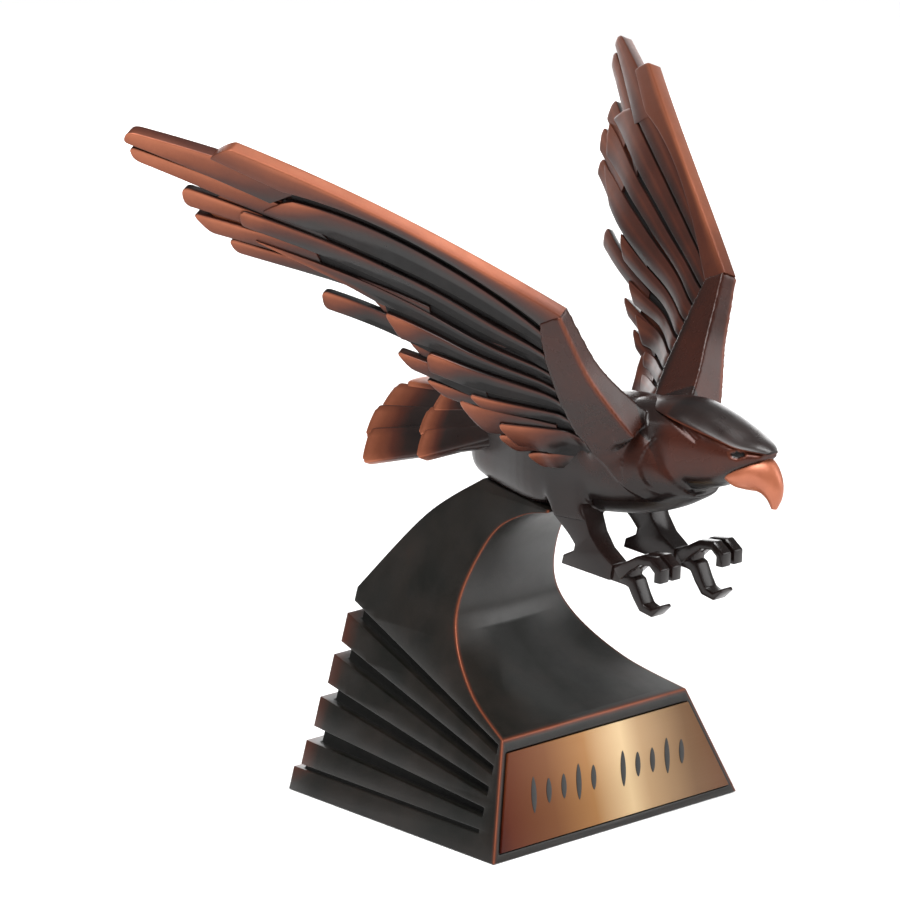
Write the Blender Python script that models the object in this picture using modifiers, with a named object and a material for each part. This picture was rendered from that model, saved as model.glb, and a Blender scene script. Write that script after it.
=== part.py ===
"""Resin eagle award statue: an eagle with raised wings, cast on a finned plinth with a name plate.

The bird faces -Y, +Z is up, and X = 0 is its mirror plane. The origin is the middle of the
plinth's underside. Sizes are in millimetres and become metres where a mesh is made. The bird is
drawn in one side view, in millimetres above the plinth's underside, and placed on the seat.
"""
import math

import bmesh
import bpy
from mathutils import Vector

MM = 0.001
COLLECTION = "resin_eagle_award"
GAP = 0.3
WELD = 0.004

# Driving sizes of the plinth
BASE_FRONT_WIDTH = 112.0
BASE_REAR_WIDTH = 60.0
BASE_DEPTH = 103.7
SIDE_LEAN = 0.353
FACE_HEIGHT = 33.0
FACE_LEAN = 8.5
SEAT_FRONT_HEIGHT = 97.5
SEAT_REAR_HEIGHT = 100.7
SEAT_FRONT = 11.0
SEAT_REAR = 44.4
WAIST = 42.5
WAIST_HEIGHT = 68.0
EDGE_ROUND = 0.8

# Driving sizes of the fan of fins at the plinth's back
FIN_COUNT = 4
FIN_TOP_REAR = 53.0
FIN_STEP_REAR = 12.8
FIN_TOP_FRONT = 29.0
FIN_STEP_FRONT = 5.9
FIN_STEP_OUT = 2.0
FIN_REACH = 94.5
SLOT_REAR = 4.4
SLOT_FRONT = 2.6
SLOT_DEPTH = 3.2
NOTCH_DEPTH = 4.6
SLAB_HEIGHT = 6.6
LEDGE_SLOT = 1.2
BORDER = 10.0

# Driving sizes of the name plate
PLATE_WIDTH = 105.0
PLATE_HEIGHT = 27.6
PLATE_FOOT = 2.6
PLATE_THICKNESS = 0.9
PLATE_RECESS = 0.5

# Driving sizes of the bird
EAGLE_HEIGHT = 116.0
DRAWN_HEIGHT = 116.0
DRAWN_SEAT = (-22.3, 99.1)
WING_THICKNESS = 5.0
WEB_THICKNESS = 1.7
WEB_REACH = 3.0
TAIL_THICKNESS = 3.2


def clear_scene():
    for item in list(bpy.data.objects):
        bpy.data.objects.remove(item, do_unlink=True)


def new_collection(name):
    group = bpy.data.collections.new(name)
    bpy.context.scene.collection.children.link(group)
    return group


def material(name, colour, metallic, roughness):
    finish = bpy.data.materials.new(name)
    finish.use_nodes = True
    shader = finish.node_tree.nodes["Principled BSDF"]
    shader.inputs["Base Color"].default_value = (*colour, 1.0)
    shader.inputs["Metallic"].default_value = metallic
    shader.inputs["Roughness"].default_value = roughness
    finish.diffuse_color = (*colour, 1.0)
    return finish


def mesh_object(name, mesh, group):
    item = bpy.data.objects.new(name, mesh)
    group.objects.link(item)
    return item


def loft(name, rings, group):
    """A closed solid through rings of equally many points, with flat caps."""
    shape = bmesh.new()
    rows = [[shape.verts.new(Vector(point) * MM) for point in ring] for ring in rings]
    count = len(rows[0])
    for row, following in zip(rows[:-1], rows[1:]):
        for i in range(count):
            j = (i + 1) % count
            shape.faces.new((row[i], row[j], following[j], following[i]))
    shape.faces.new(rows[0])
    shape.faces.new(rows[-1])
    bmesh.ops.recalc_face_normals(shape, faces=shape.faces)
    bmesh.ops.triangulate(shape, faces=shape.faces)
    mesh = bpy.data.meshes.new(name)
    shape.to_mesh(mesh)
    shape.free()
    return mesh_object(name, mesh, group)


def combine(target, other, operation):
    """Cut or join another object into the target with an exact Boolean, then drop the other."""
    step = target.modifiers.new(operation.lower(), "BOOLEAN")
    step.operation = operation
    step.solver = "EXACT"
    step.object = other
    graph = bpy.context.evaluated_depsgraph_get()
    mesh = bpy.data.meshes.new_from_object(target.evaluated_get(graph))
    target.modifiers.clear()
    target.data = mesh
    bpy.data.objects.remove(other, do_unlink=True)


def weld(mesh):
    """Merge the points a Boolean leaves closer together than a few thousandths of a millimetre."""
    shape = bmesh.new()
    shape.from_mesh(mesh)
    bmesh.ops.triangulate(shape, faces=shape.faces)
    bmesh.ops.remove_doubles(shape, verts=shape.verts, dist=WELD * MM)
    bmesh.ops.dissolve_degenerate(shape, edges=shape.edges, dist=WELD * MM)
    shape.to_mesh(mesh)
    shape.free()


def unite(items):
    """Join many overlapping solids into the first in one exact Boolean."""
    first, *others = items
    pile = bpy.data.collections.new("to_join")
    for item in others:
        pile.objects.link(item)
    step = first.modifiers.new("join", "BOOLEAN")
    step.operation = "UNION"
    step.solver = "EXACT"
    step.use_self = True
    step.operand_type = "COLLECTION"
    step.collection = pile
    graph = bpy.context.evaluated_depsgraph_get()
    mesh = bpy.data.meshes.new_from_object(first.evaluated_get(graph))
    first.modifiers.clear()
    first.data = mesh
    weld(mesh)
    for item in others:
        bpy.data.objects.remove(item, do_unlink=True)
    bpy.data.collections.remove(pile)
    return first


def smooth_curve(points, steps):
    """Points along a Catmull-Rom curve through a few hand-placed points."""
    ends = [points[0], *points, points[-1]]
    curve = []
    for a, b, c, d in zip(ends[:-3], ends[1:-2], ends[2:-1], ends[3:]):
        for i in range(steps):
            t = i / steps
            curve.append(tuple(
                0.5 * (2 * q + (r - p) * t + (2 * p - 5 * q + 4 * r - s) * t * t
                       + (3 * q - p - 3 * r + s) * t ** 3)
                for p, q, r, s in zip(a, b, c, d)))
    curve.append(tuple(points[-1]))
    return curve


# The plinth

def front_edge():
    return -BASE_DEPTH / 2


def half_width(y, z):
    """Half the plinth's width: its sides are flat, lean inwards and close towards the back."""
    closing = (BASE_FRONT_WIDTH - BASE_REAR_WIDTH) / 2 / BASE_DEPTH
    return BASE_FRONT_WIDTH / 2 - closing * (y - front_edge()) - SIDE_LEAN * z


def plinth_prism(name, outline, inset, group):
    """A side-view outline carried out to both leaning sides, or short of them by an inset."""
    left = [(-half_width(y, z) + inset, y, z) for y, z in outline]
    right = [(half_width(y, z) - inset, y, z) for y, z in outline]
    return loft(name, [left, right], group)


def fan_line(index, drop, y):
    """Height at y of a fin's top edge, or of a line a share of a slot above it."""
    reach = (y - front_edge() - BORDER) / (FIN_REACH - BORDER)
    front = FIN_TOP_FRONT - FIN_STEP_FRONT * index + SLOT_FRONT * drop
    rear = FIN_TOP_REAR - FIN_STEP_REAR * index + SLOT_REAR * drop
    return front + (rear - front) * reach


def fin_end(index):
    """How far back a fin reaches; each lower fin reaches a little further."""
    return front_edge() + FIN_REACH + FIN_STEP_OUT * index


def rear_steps():
    """The plinth's back from the column's foot down, stepped in the middle of each slot."""
    steps = []
    for index in range(FIN_COUNT):
        before = fin_end(index - 1)
        after = fin_end(index)
        steps.append((before, fan_line(index, 0.5, before)))
        steps.append((after, fan_line(index, 0.5, after)))
    slab = front_edge() + BASE_DEPTH
    steps.append((fin_end(FIN_COUNT - 1), SLAB_HEIGHT + LEDGE_SLOT / 2))
    steps.append((slab, SLAB_HEIGHT + LEDGE_SLOT / 2))
    steps.append((slab, 0.0))
    return steps


def plinth_outline():
    front = front_edge()
    face_top = (front + FACE_LEAN, FACE_HEIGHT)
    hollow = smooth_curve([
        face_top,
        (front + 0.62 * WAIST, FACE_HEIGHT + 0.25 * (WAIST_HEIGHT - FACE_HEIGHT)),
        (front + 0.93 * WAIST, FACE_HEIGHT + 0.62 * (WAIST_HEIGHT - FACE_HEIGHT)),
        (front + WAIST, WAIST_HEIGHT),
        (front + 0.81 * WAIST, WAIST_HEIGHT + 0.62 * (SEAT_FRONT_HEIGHT - WAIST_HEIGHT)),
        (front + 0.53 * WAIST, WAIST_HEIGHT + 0.88 * (SEAT_FRONT_HEIGHT - WAIST_HEIGHT)),
        (front + SEAT_FRONT, SEAT_FRONT_HEIGHT - EDGE_ROUND),
    ], 3)
    shoulder = (front + FIN_REACH - FIN_STEP_OUT, FIN_TOP_REAR + SLOT_REAR + 3.4)
    seat_rear = (front + SEAT_REAR, SEAT_REAR_HEIGHT)
    back = smooth_curve([
        seat_rear,
        (seat_rear[0] + 0.48 * (shoulder[0] - seat_rear[0]),
         shoulder[1] + 0.64 * (seat_rear[1] - shoulder[1])),
        shoulder,
    ], 4)
    return [(front, 0.0), *hollow, (front + SEAT_FRONT, SEAT_FRONT_HEIGHT), *back, *rear_steps()]


def slot_cutter(name, low_line, high_line, start, floor_y, depth, group):
    """A slot round the sides and back: a U in plan, between two lines of the side view."""
    past = front_edge() + BASE_DEPTH + 2 * NOTCH_DEPTH
    rings = []
    for line in (low_line, high_line):
        ring = []
        for side, order in ((-1, 1), (1, -1)):
            arm = [(side * (half_width(start, line(start)) + 2 * SLOT_DEPTH), start, line(start)),
                   (side * (half_width(past, line(past)) + 4 * SLOT_DEPTH), past, line(past))]
            ring += arm[::order]
        for side, order in ((1, 1), (-1, -1)):
            arm = [(side * (half_width(start, line(start)) - depth), start, line(start)),
                   (side * (half_width(floor_y, line(floor_y)) - depth), floor_y, line(floor_y))]
            ring += arm[::order]
        rings.append(ring)
    return loft(name, rings, group)


def round_edges(item, width, angle):
    bevel = item.modifiers.new("rounded_edges", "BEVEL")
    bevel.width = width * MM
    bevel.segments = 1
    bevel.limit_method = "ANGLE"
    bevel.angle_limit = math.radians(angle)
    bevel.use_clamp_overlap = True


def face_point(along, up, out):
    """A point on the leaning front face: across, up the slope, and out from it."""
    slope = math.hypot(FACE_LEAN, FACE_HEIGHT)
    lean_y = FACE_LEAN / slope
    lean_z = FACE_HEIGHT / slope
    return (along, front_edge() + lean_y * up - lean_z * out, lean_z * up + lean_y * out)


def plate_corners(out, grow):
    """The plate's four corners: its sides run parallel to the face's leaning sides."""
    foot = PLATE_FOOT - grow
    head = PLATE_FOOT + PLATE_HEIGHT + grow
    slope = math.hypot(FACE_LEAN, FACE_HEIGHT)
    narrowing = (half_width(front_edge(), 0.0)
                 - half_width(front_edge() + FACE_LEAN, FACE_HEIGHT)) / slope
    wide = PLATE_WIDTH / 2 + grow
    narrow = wide - narrowing * (head - foot)
    return [face_point(-wide, foot, out), face_point(wide, foot, out),
            face_point(narrow, head, out), face_point(-narrow, head, out)]


def make_plinth(group, cutters):
    plinth = plinth_prism("plinth", plinth_outline(), 0.0, group)
    start = front_edge() + BORDER
    for index in range(FIN_COUNT):
        floor_y = fin_end(index) - NOTCH_DEPTH
        slot = slot_cutter("slot", lambda y: fan_line(index, 0.0, y), lambda y: fan_line(index, 1.0, y),
                           start, floor_y, SLOT_DEPTH, cutters)
        combine(plinth, slot, "DIFFERENCE")
    ledge = slot_cutter("ledge", lambda y: SLAB_HEIGHT, lambda y: SLAB_HEIGHT + LEDGE_SLOT,
                        start, fin_end(FIN_COUNT - 1) - LEDGE_SLOT, LEDGE_SLOT, cutters)
    combine(plinth, ledge, "DIFFERENCE")
    pocket = loft("plate_pocket", [plate_corners(-PLATE_RECESS, GAP),
                                   plate_corners(2 * PLATE_THICKNESS, GAP)], cutters)
    combine(plinth, pocket, "DIFFERENCE")
    plinth.data.materials.clear()
    plinth.data.materials.append(material("dark_resin", (0.05, 0.035, 0.03), 0.3, 0.35))
    return plinth


def make_plate(group):
    floor = GAP - PLATE_RECESS
    plate = loft("name_plate", [plate_corners(floor, 0.0),
                                plate_corners(floor + PLATE_THICKNESS, 0.0)], group)
    plate.data.materials.append(material("polished_plate", (0.80, 0.55, 0.28), 1.0, 0.22))
    return plate


# Placing the bird on its seat

def seat_height(y):
    share = (y - front_edge() - SEAT_FRONT) / (SEAT_REAR - SEAT_FRONT)
    return SEAT_FRONT_HEIGHT + share * (SEAT_REAR_HEIGHT - SEAT_FRONT_HEIGHT)


def placed(x, y, z):
    """A drawn point of the bird, scaled about its seat and set on the plinth."""
    scale = EAGLE_HEIGHT / DRAWN_HEIGHT
    middle = front_edge() + (SEAT_FRONT + SEAT_REAR) / 2
    return (x * scale, middle + (y - DRAWN_SEAT[0]) * scale,
            seat_height(middle) + (z - DRAWN_SEAT[1]) * scale)


def bird_loft(name, rings, group):
    return loft(name, [[placed(*point) for point in ring] for ring in rings], group)


# The wings

WRIST = (-61.3, 161.3)
ARM_LINE = -52.5
WING_FOOT = -35.9
WING_SWEEP = 0.406
WING_SPREAD = 0.626
WING_BOW = 4.5
WING_SPAN = 105.0
SHOULDER_PUSH = 7.0
TRAILING_FLARE = 12.0
FLARE_TUCK = 5.0
HAND_CAMBER = 2.6
THROUGH = (0.9, -0.23, -0.37)
LEAD_OUT = (15.0, 208.6)
LEAD_SLOPE = 0.613
LEAD_RISE = 0.021
GROOVE_WIDTH = 2.3
INNER_GROOVE_WIDTH = 1.4

# A covert on either face: height of its upper line at the arm, that line's rise and end,
# then the same for its lower line
OUTER_COVERTS = [
    (155.2, 0.084, (5.0, 193.9), 148.1, 0.030, (14.5, 188.6)),
    (148.1, 0.030, (18.3, 190.4), 141.9, 0.012, (20.5, 184.0)),
    (141.9, 0.012, (19.0, 181.4), 136.7, 0.030, (-7.4, 160.4)),
    (136.7, 0.030, (-8.5, 159.4), 131.9, 0.045, (-11.6, 150.0)),
    (131.9, 0.045, (-19.8, 147.6), 127.1, 0.0, (-18.8, 140.6)),
    (127.1, 0.0, (-29.8, 135.6), 122.0, 0.0, (-31.0, 130.0)),
    (122.0, 0.0, (-33.6, 125.9), 118.3, 0.0, (-32.8, 121.4)),
]
INNER_COVERTS = [
    (162.0, 0.050, (23.0, 205.6), 158.9, 0.025, (16.8, 195.8)),
    (158.9, 0.025, (17.6, 195.7), 154.2, 0.030, (27.6, 190.4)),
    (154.2, 0.030, (29.2, 189.4), 149.0, 0.041, (23.2, 180.4)),
    (149.0, 0.041, (22.8, 178.6), 144.4, 0.0, (9.6, 169.0)),
    (144.4, 0.0, (-3.6, 163.9), 140.1, -0.010, (-8.2, 156.4)),
    (140.1, -0.010, (-12.1, 151.7), 135.7, 0.0, (-16.6, 144.6)),
    (135.7, 0.0, (-17.9, 142.4), 131.7, 0.0, (-24.8, 134.2)),
    (131.7, 0.0, (-27.1, 133.2), 127.6, 0.0, (-28.8, 128.8)),
    (127.6, 0.0, (-30.3, 127.4), 123.4, 0.0, (-33.6, 123.4)),
    (123.4, 0.0, (-34.0, 122.4), 117.0, 0.0, (-36.4, 114.0)),
]
# A long feather under the coverts: root and end of its upper line, then of its lower line
PRIMARIES = [
    ((-2.0, 197.0), (39.6, 212.8), (10.6, 191.4), (42.3, 209.6)),
    ((4.0, 188.6), (40.8, 207.9), (-2.0, 177.6), (41.6, 203.8)),
    ((4.0, 182.4), (31.4, 195.5), (2.0, 176.4), (33.4, 189.6)),
    ((4.0, 177.4), (31.8, 187.4), (4.0, 171.6), (29.8, 181.2)),
    ((-22.0, 160.4), (24.9, 179.6), (-22.0, 156.0), (25.4, 175.2)),
    ((-24.0, 156.6), (7.2, 163.4), (-24.0, 149.8), (8.3, 157.8)),
    ((-34.0, 142.6), (-10.1, 146.0), (-34.0, 134.5), (-13.4, 140.8)),
    ((-40.0, 133.0), (-17.2, 138.0), (-40.0, 126.4), (-20.8, 132.8)),
    ((-46.0, 126.0), (-25.1, 132.3), (-46.0, 119.4), (-28.0, 121.0)),
    ((-52.0, 119.4), (-31.2, 121.0), (-54.0, 116.4), (-32.4, 114.8)),
    ((-53.0, 116.2), (-34.8, 114.3), (-56.0, 111.6), (-36.6, 109.2)),
]
PRIMARY_SINKS = [0.2, 0.8, 1.1, 0.65, 0.5, 1.35, 0.9, 1.2, 0.95, 0.6, 1.0]


def eased(value, start, end):
    """A share that rises smoothly from 0 at the start to 1 at the end."""
    share = max(0.0, min(1.0, (value - start) / (end - start)))
    return share * share * (3 - 2 * share)


def lead_height(y):
    """Height of the wing's leading edge in the side view."""
    return WRIST[1] + LEAD_SLOPE * (y - WRIST[0])


def wing_x(y, z):
    """How far out the wing's outer face lies: a leaning plane with a bow, a flare and a camber."""
    along = max(0.0, min(1.0, (y - WRIST[0]) / WING_SPAN))
    low = max(0.0, min(1.0, (WRIST[1] - z) / 36.0))
    shoulder = SHOULDER_PUSH * low * eased(-y, 46.0, 58.0)
    bow = WING_BOW * math.sin(math.pi * along)
    flare = TRAILING_FLARE * eased(-z, -168.0, -130.0) - FLARE_TUCK * eased(-z, -128.0, -108.0)
    camber = HAND_CAMBER * eased(lead_height(y) - z, 6.0, 28.0) * eased(y, -8.0, 24.0)
    plane = WING_FOOT + WING_SWEEP * y + WING_SPREAD * z
    return plane - bow + shoulder + flare * eased(y, -56.0, -28.0) + camber


def wing_point(side, y, z, depth):
    """A point of the wing, a depth in from its outer face."""
    through = Vector(THROUGH).normalized()
    x = wing_x(y, z) - depth * through.x
    return (side * x, y - depth * through.y, z - depth * through.z)


def bent_line(start, end, count, rise):
    """Points from start to end, raised in the middle by a share of the length."""
    length = math.hypot(end[0] - start[0], end[1] - start[1])
    points = []
    for i in range(count + 1):
        t = i / count
        lift = rise * length * 4 * t * (1 - t)
        points.append((start[0] + (end[0] - start[0]) * t, start[1] + (end[1] - start[1]) * t + lift))
    return points


def wing_ribbon(name, side, upper, lower, depths, group):
    """A strip of the wing between two lines of the side view, between two depths."""
    rings = []
    for top, bottom in zip(upper, lower):
        rings.append([wing_point(side, *top, depths[0]), wing_point(side, *bottom, depths[0]),
                      wing_point(side, *bottom, depths[1]), wing_point(side, *top, depths[1])])
    return bird_loft(name, rings, group)


def make_leading_feather(side, group):
    """The wing's leading edge down to the first groove, with its slanted outer end."""
    height, rise, end = OUTER_COVERTS[0][:3]
    upper = bent_line(WRIST, LEAD_OUT, 6, LEAD_RISE)
    lower = bent_line((ARM_LINE - 2.0, height + 1.6), (22.0, 205.4), 6, rise)
    return wing_ribbon("leading_feather", side, upper, lower, (0.0, WING_THICKNESS), group)


def make_arm(side, group):
    """The thick arm from the wrist down into the shoulder."""
    front = [(-61.2, 161.2), (-62.6, 152.0), (-64.5, 142.0), (-68.5, 132.0), (-72.0, 124.0)]
    back = [(-54.0, 158.4), (-52.0, 148.5), (-51.4, 138.5), (-52.4, 128.0), (-54.4, 116.0)]
    depths = [(-0.1, 5.1), (-0.3, 5.6), (-0.4, 6.6), (-0.4, 9.0), (0.0, 13.0)]
    rings = []
    for fore, aft, (outer, inner) in zip(front, back, depths):
        rings.append([wing_point(side, *fore, outer), wing_point(side, *aft, outer),
                      wing_point(side, *aft, inner), wing_point(side, *fore, inner)])
    return bird_loft("arm", rings, group)


def make_web(side, group):
    """The thin plate left at the bottom of each groove."""
    middle = WING_THICKNESS / 2
    depths = (middle - WEB_THICKNESS / 2, middle + WEB_THICKNESS / 2)
    ribbons = []
    for height, rise, end in [covert[:3] for covert in OUTER_COVERTS]:
        line = bent_line((ARM_LINE - 4.0, height), end, 4, rise)
        upper = [(y, z + WEB_REACH) for y, z in line]
        lower = [(y, z - WEB_REACH) for y, z in line]
        ribbons.append(wing_ribbon("web", side, upper, lower, depths, group))
    return ribbons


def make_coverts(side, coverts, depths, groove, group):
    """The coverts on one face, each a groove's width from the next."""
    strips = []
    for high, high_rise, high_end, low, low_rise, low_end in coverts:
        upper = bent_line((ARM_LINE - 3.0, high - groove / 2),
                          (high_end[0], high_end[1] - groove / 2), 5, high_rise)
        lower = bent_line((ARM_LINE - 3.0, low + groove / 2), low_end, 5, low_rise)
        strips.append(wing_ribbon("covert", side, upper, lower, depths, group))
    return strips


def make_primaries(side, group):
    """The long feathers that show beyond and between the coverts, each at its own depth."""
    feathers = []
    for (root, high, low_root, low), sink in zip(PRIMARIES, PRIMARY_SINKS):
        upper = bent_line(root, high, 2, 0.012)
        lower = bent_line(low_root, low, 2, 0.012)
        depths = (sink, WING_THICKNESS - 0.9 * sink)
        feathers.append(wing_ribbon("primary", side, upper, lower, depths, group))
    return feathers


def make_wing(side, group):
    middle = WING_THICKNESS / 2
    outer = (0.25, middle + 0.5)
    inner = (middle - 0.5, WING_THICKNESS - 0.3)
    parts = [make_leading_feather(side, group), make_arm(side, group)]
    parts += make_web(side, group)
    parts += make_primaries(side, group)
    parts += make_coverts(side, OUTER_COVERTS, outer, GROOVE_WIDTH, group)
    parts += make_coverts(side, INNER_COVERTS, inner, INNER_GROOVE_WIDTH, group)
    return parts


# The body, neck, head and beak

def oval(y, low, high, half, tilt, power, count):
    """A rounded section across the bird, leaning forwards below when it is tilted."""
    middle = (low + high) / 2
    ring = []
    for i in range(count):
        angle = 2 * math.pi * (i + 0.5) / count
        across = math.copysign(abs(math.cos(angle)) ** (2 / power), math.cos(angle))
        up = math.copysign(abs(math.sin(angle)) ** (2 / power), math.sin(angle))
        rise = up * (high - low) / 2
        ring.append((across * half, y + tilt * rise, middle + rise))
    return ring


# Sections of the trunk: y, underside, back, half width, tilt
TRUNK = [(5.0, 104.0, 121.0, 5.0, 0.0), (-2.0, 101.0, 126.0, 9.5, 0.0), (-14.0, 98.5, 129.5, 14.0, 0.0),
         (-28.0, 96.6, 130.6, 17.6, 0.0), (-42.0, 96.0, 131.0, 19.6, 0.1), (-55.0, 97.0, 131.6, 19.6, 0.25),
         (-65.0, 99.6, 131.6, 18.0, 0.42), (-72.0, 103.0, 131.0, 15.6, 0.55), (-75.5, 105.0, 130.4, 13.8, 0.62)]
HEAD = [(-62.0, 108.0, 129.0, 12.0, 0.3), (-74.0, 107.4, 130.4, 12.2, 0.25), (-84.0, 108.0, 130.0, 11.0, 0.15),
        (-92.0, 109.0, 126.6, 9.0, 0.05), (-99.0, 110.4, 122.6, 7.0, 0.0), (-105.0, 112.6, 120.4, 4.6, 0.0)]
# Sections of the cap: y, brow, crown, half width
CAP = [(-64.0, 130.0, 131.4, 2.0), (-71.0, 130.2, 133.2, 7.4), (-79.0, 128.8, 134.8, 10.4),
       (-87.0, 126.8, 134.4, 11.2), (-94.0, 124.8, 131.8, 10.6), (-99.6, 123.0, 128.6, 8.8),
       (-104.2, 121.6, 125.4, 6.0), (-107.0, 121.0, 122.6, 2.4)]
# Stations of the beak: y, z, half depth, half width, direction of travel
BEAK = [(-92.8, 112.4, 3.4, 6.6, 0.0), (-98.8, 114.0, 4.9, 6.4, -4.0), (-103.4, 114.0, 5.2, 5.4, -24.0),
        (-106.8, 111.4, 3.9, 3.8, -55.0), (-108.3, 108.0, 2.2, 2.2, -80.0), (-108.0, 104.9, 0.6, 0.7, -95.0)]


def make_trunk(group):
    return bird_loft("trunk", [oval(y, low, high, half, tilt, 2.3, 18)
                               for y, low, high, half, tilt in TRUNK], group)


def make_head(group):
    return bird_loft("head", [oval(y, low, high, half, tilt, 2.4, 16)
                              for y, low, high, half, tilt in HEAD], group)


def make_cap(group):
    """The smooth cap whose lower rim is the brow."""
    rings = []
    for y, brow, crown, half in CAP:
        ring = []
        for i in range(11):
            angle = math.pi * i / 10
            ring.append((half * math.cos(angle), y, brow + (crown - brow) * math.sin(angle) ** 0.9))
        ring.append((-0.6 * half, y, brow - 0.3))
        ring.append((0.6 * half, y, brow - 0.3))
        rings.append(ring)
    return bird_loft("cap", rings, group)


def make_beak(group):
    rings = []
    for y, z, depth, half, heading in BEAK:
        turn = math.radians(heading)
        ring = []
        for i in range(12):
            angle = 2 * math.pi * i / 12
            rise = depth * math.sin(angle)
            ring.append((half * math.cos(angle), y + rise * math.sin(turn), z + rise * math.cos(turn)))
        rings.append(ring)
    return bird_loft("beak", rings, group)


# The tail

TAIL_ROOT = (-14.0, 118.0)
# Each tail feather of one side: end position across, along and up, turn about its length, width
TAIL_ENDS = [(0.0, 28.0, 123.4, 0.0, 12.0), (8.6, 31.4, 119.6, 40.0, 11.5),
             (15.0, 32.6, 113.6, 56.0, 11.0), (19.4, 30.6, 107.6, 68.0, 11.0)]
COVERT_ENDS = [(0.0, 14.0, 125.2, 0.0, 12.0), (9.4, 17.0, 121.0, 40.0, 11.0),
               (15.6, 18.6, 114.2, 58.0, 10.5), (19.0, 17.0, 106.4, 72.0, 10.0)]


def feather_ring(centre, turn, width, thickness):
    across = Vector((math.cos(turn), 0.0, -math.sin(turn))) * width / 2
    up = Vector((math.sin(turn), 0.0, math.cos(turn))) * thickness / 2
    middle = Vector(centre)
    return [tuple(middle + across + up), tuple(middle - across + up),
            tuple(middle - across - up), tuple(middle + across - up)]


def make_tail(group):
    feathers = []
    for layer, (ends, thickness) in enumerate(((TAIL_ENDS, TAIL_THICKNESS), (COVERT_ENDS, 4.6))):
        for side in (-1, 1):
            for index, (x, y, z, degrees, width) in enumerate(ends):
                if index == 0 and side < 0:
                    continue
                turn = math.radians(degrees) * side
                root = (side * x * 0.42, TAIL_ROOT[0], TAIL_ROOT[1] + (z - 113.0) * 0.55)
                sink = 0.25 * index
                start = feather_ring(root, turn, width * 0.62, thickness)
                end = feather_ring((side * x, y, z - sink), turn, width, thickness)
                feathers.append(bird_loft("tail_feather", [start, end], group))
    return feathers


# The legs and feet

LEG_X = 14.2
LEG_HALF = 3.4
THIGH_FLARE = 2.6
# The leg's outline from the back of the thigh round the spur and up the front
LEG_SIDE = [(-36.0, 103.0), (-41.2, 96.0), (-46.0, 91.4), (-48.2, 88.6), (-47.6, 86.6), (-43.6, 84.8),
            (-42.8, 82.0), (-61.2, 79.6), (-62.4, 84.4), (-57.6, 88.0), (-54.4, 92.4), (-51.0, 99.0),
            (-50.0, 103.0)]
ANKLE = [(-59.0, 84.2), (-59.0, 79.8), (-68.4, 78.6), (-69.4, 84.6)]
# The upper claws and the lower hook, as centre lines with half thicknesses
UPPER_CLAW = [(-66.0, 82.0, 2.6), (-70.0, 85.4, 2.6), (-74.4, 87.4, 2.3), (-78.6, 87.0, 2.2),
              (-80.6, 84.4, 1.9), (-80.2, 81.6, 1.4)]
LOWER_HOOK = [(-66.0, 82.6, 2.6), (-70.0, 80.0, 2.6), (-71.8, 76.4, 2.2), (-74.0, 73.4, 1.9),
              (-77.0, 72.6, 1.5), (-79.6, 74.4, 0.8)]
CLAW_HALF = 2.3
CLAW_PITCH = 5.5


def side_prism(name, outline, near, far, group):
    return bird_loft(name, [[(near, y, z) for y, z in outline], [(far, y, z) for y, z in outline]], group)


def make_leg(side, group):
    """A flat leg with a spur behind; it widens towards the thigh."""
    def flare(z):
        return LEG_HALF + THIGH_FLARE * max(0.0, (z - 84.0) / 19.0)
    outer = [(side * (LEG_X + flare(z)), y, z) for y, z in LEG_SIDE]
    inner = [(side * (LEG_X - flare(z)), y, z) for y, z in LEG_SIDE]
    return bird_loft("leg", [outer, inner], group)


def claw(name, line, centre, half, group):
    """A bent bar of rectangular section along a line of the side view."""
    rings = []
    for i, (y, z, thick) in enumerate(line):
        before = line[max(0, i - 1)]
        after = line[min(len(line) - 1, i + 1)]
        length = math.hypot(after[0] - before[0], after[1] - before[1])
        normal = (-(after[1] - before[1]) / length * thick, (after[0] - before[0]) / length * thick)
        rings.append([(centre - half, y + normal[0], z + normal[1]),
                      (centre + half, y + normal[0], z + normal[1]),
                      (centre + half, y - normal[0], z - normal[1]),
                      (centre - half, y - normal[0], z - normal[1])])
    return bird_loft(name, rings, group)


def make_foot(side, group):
    middle = side * LEG_X
    parts = [side_prism("ankle", ANKLE, middle - 2.6, middle + 2.6, group)]
    for offset in (-0.5, 0.5):
        parts.append(claw("upper_claw", UPPER_CLAW, middle + offset * CLAW_PITCH, CLAW_HALF, group))
    parts.append(claw("lower_hook", LOWER_HOOK, middle, CLAW_HALF + 0.7, group))
    return parts


def seat_cutter(cutters):
    """The block that trims the belly flat, a gap above the plinth's seat."""
    fore = front_edge() + SEAT_FRONT - GAP
    aft = front_edge() + SEAT_REAR + 12.0
    deep = SEAT_FRONT_HEIGHT - 20.0
    side = half_width(fore, SEAT_FRONT_HEIGHT) + 6.0
    outline = [(fore, deep), (fore, seat_height(fore) + GAP), (aft, seat_height(aft) + GAP), (aft, deep)]
    return loft("seat_cutter", [[(-side, y, z) for y, z in outline],
                                [(side, y, z) for y, z in outline]], cutters)


def make_eagle(group, cutters):
    parts = [make_trunk(group), make_head(group), make_cap(group), make_beak(group)]
    parts += make_tail(group)
    for side in (-1, 1):
        parts += make_wing(side, group)
        parts.append(make_leg(side, group))
        parts += make_foot(side, group)
    eagle = unite(parts)
    combine(eagle, seat_cutter(cutters), "DIFFERENCE")
    eagle.name = "eagle"
    eagle.data.name = "eagle"
    eagle.data.materials.clear()
    eagle.data.materials.append(material("antique_bronze", (0.23, 0.11, 0.075), 0.55, 0.38))
    return eagle


def main():
    clear_scene()
    group = new_collection(COLLECTION)
    cutters = new_collection("cutters")
    make_plinth(group, cutters)
    make_plate(group)
    make_eagle(group, cutters)


main()
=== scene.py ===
import math

import bmesh
import bpy
import numpy as np
from mathutils import Matrix, Vector


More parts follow.
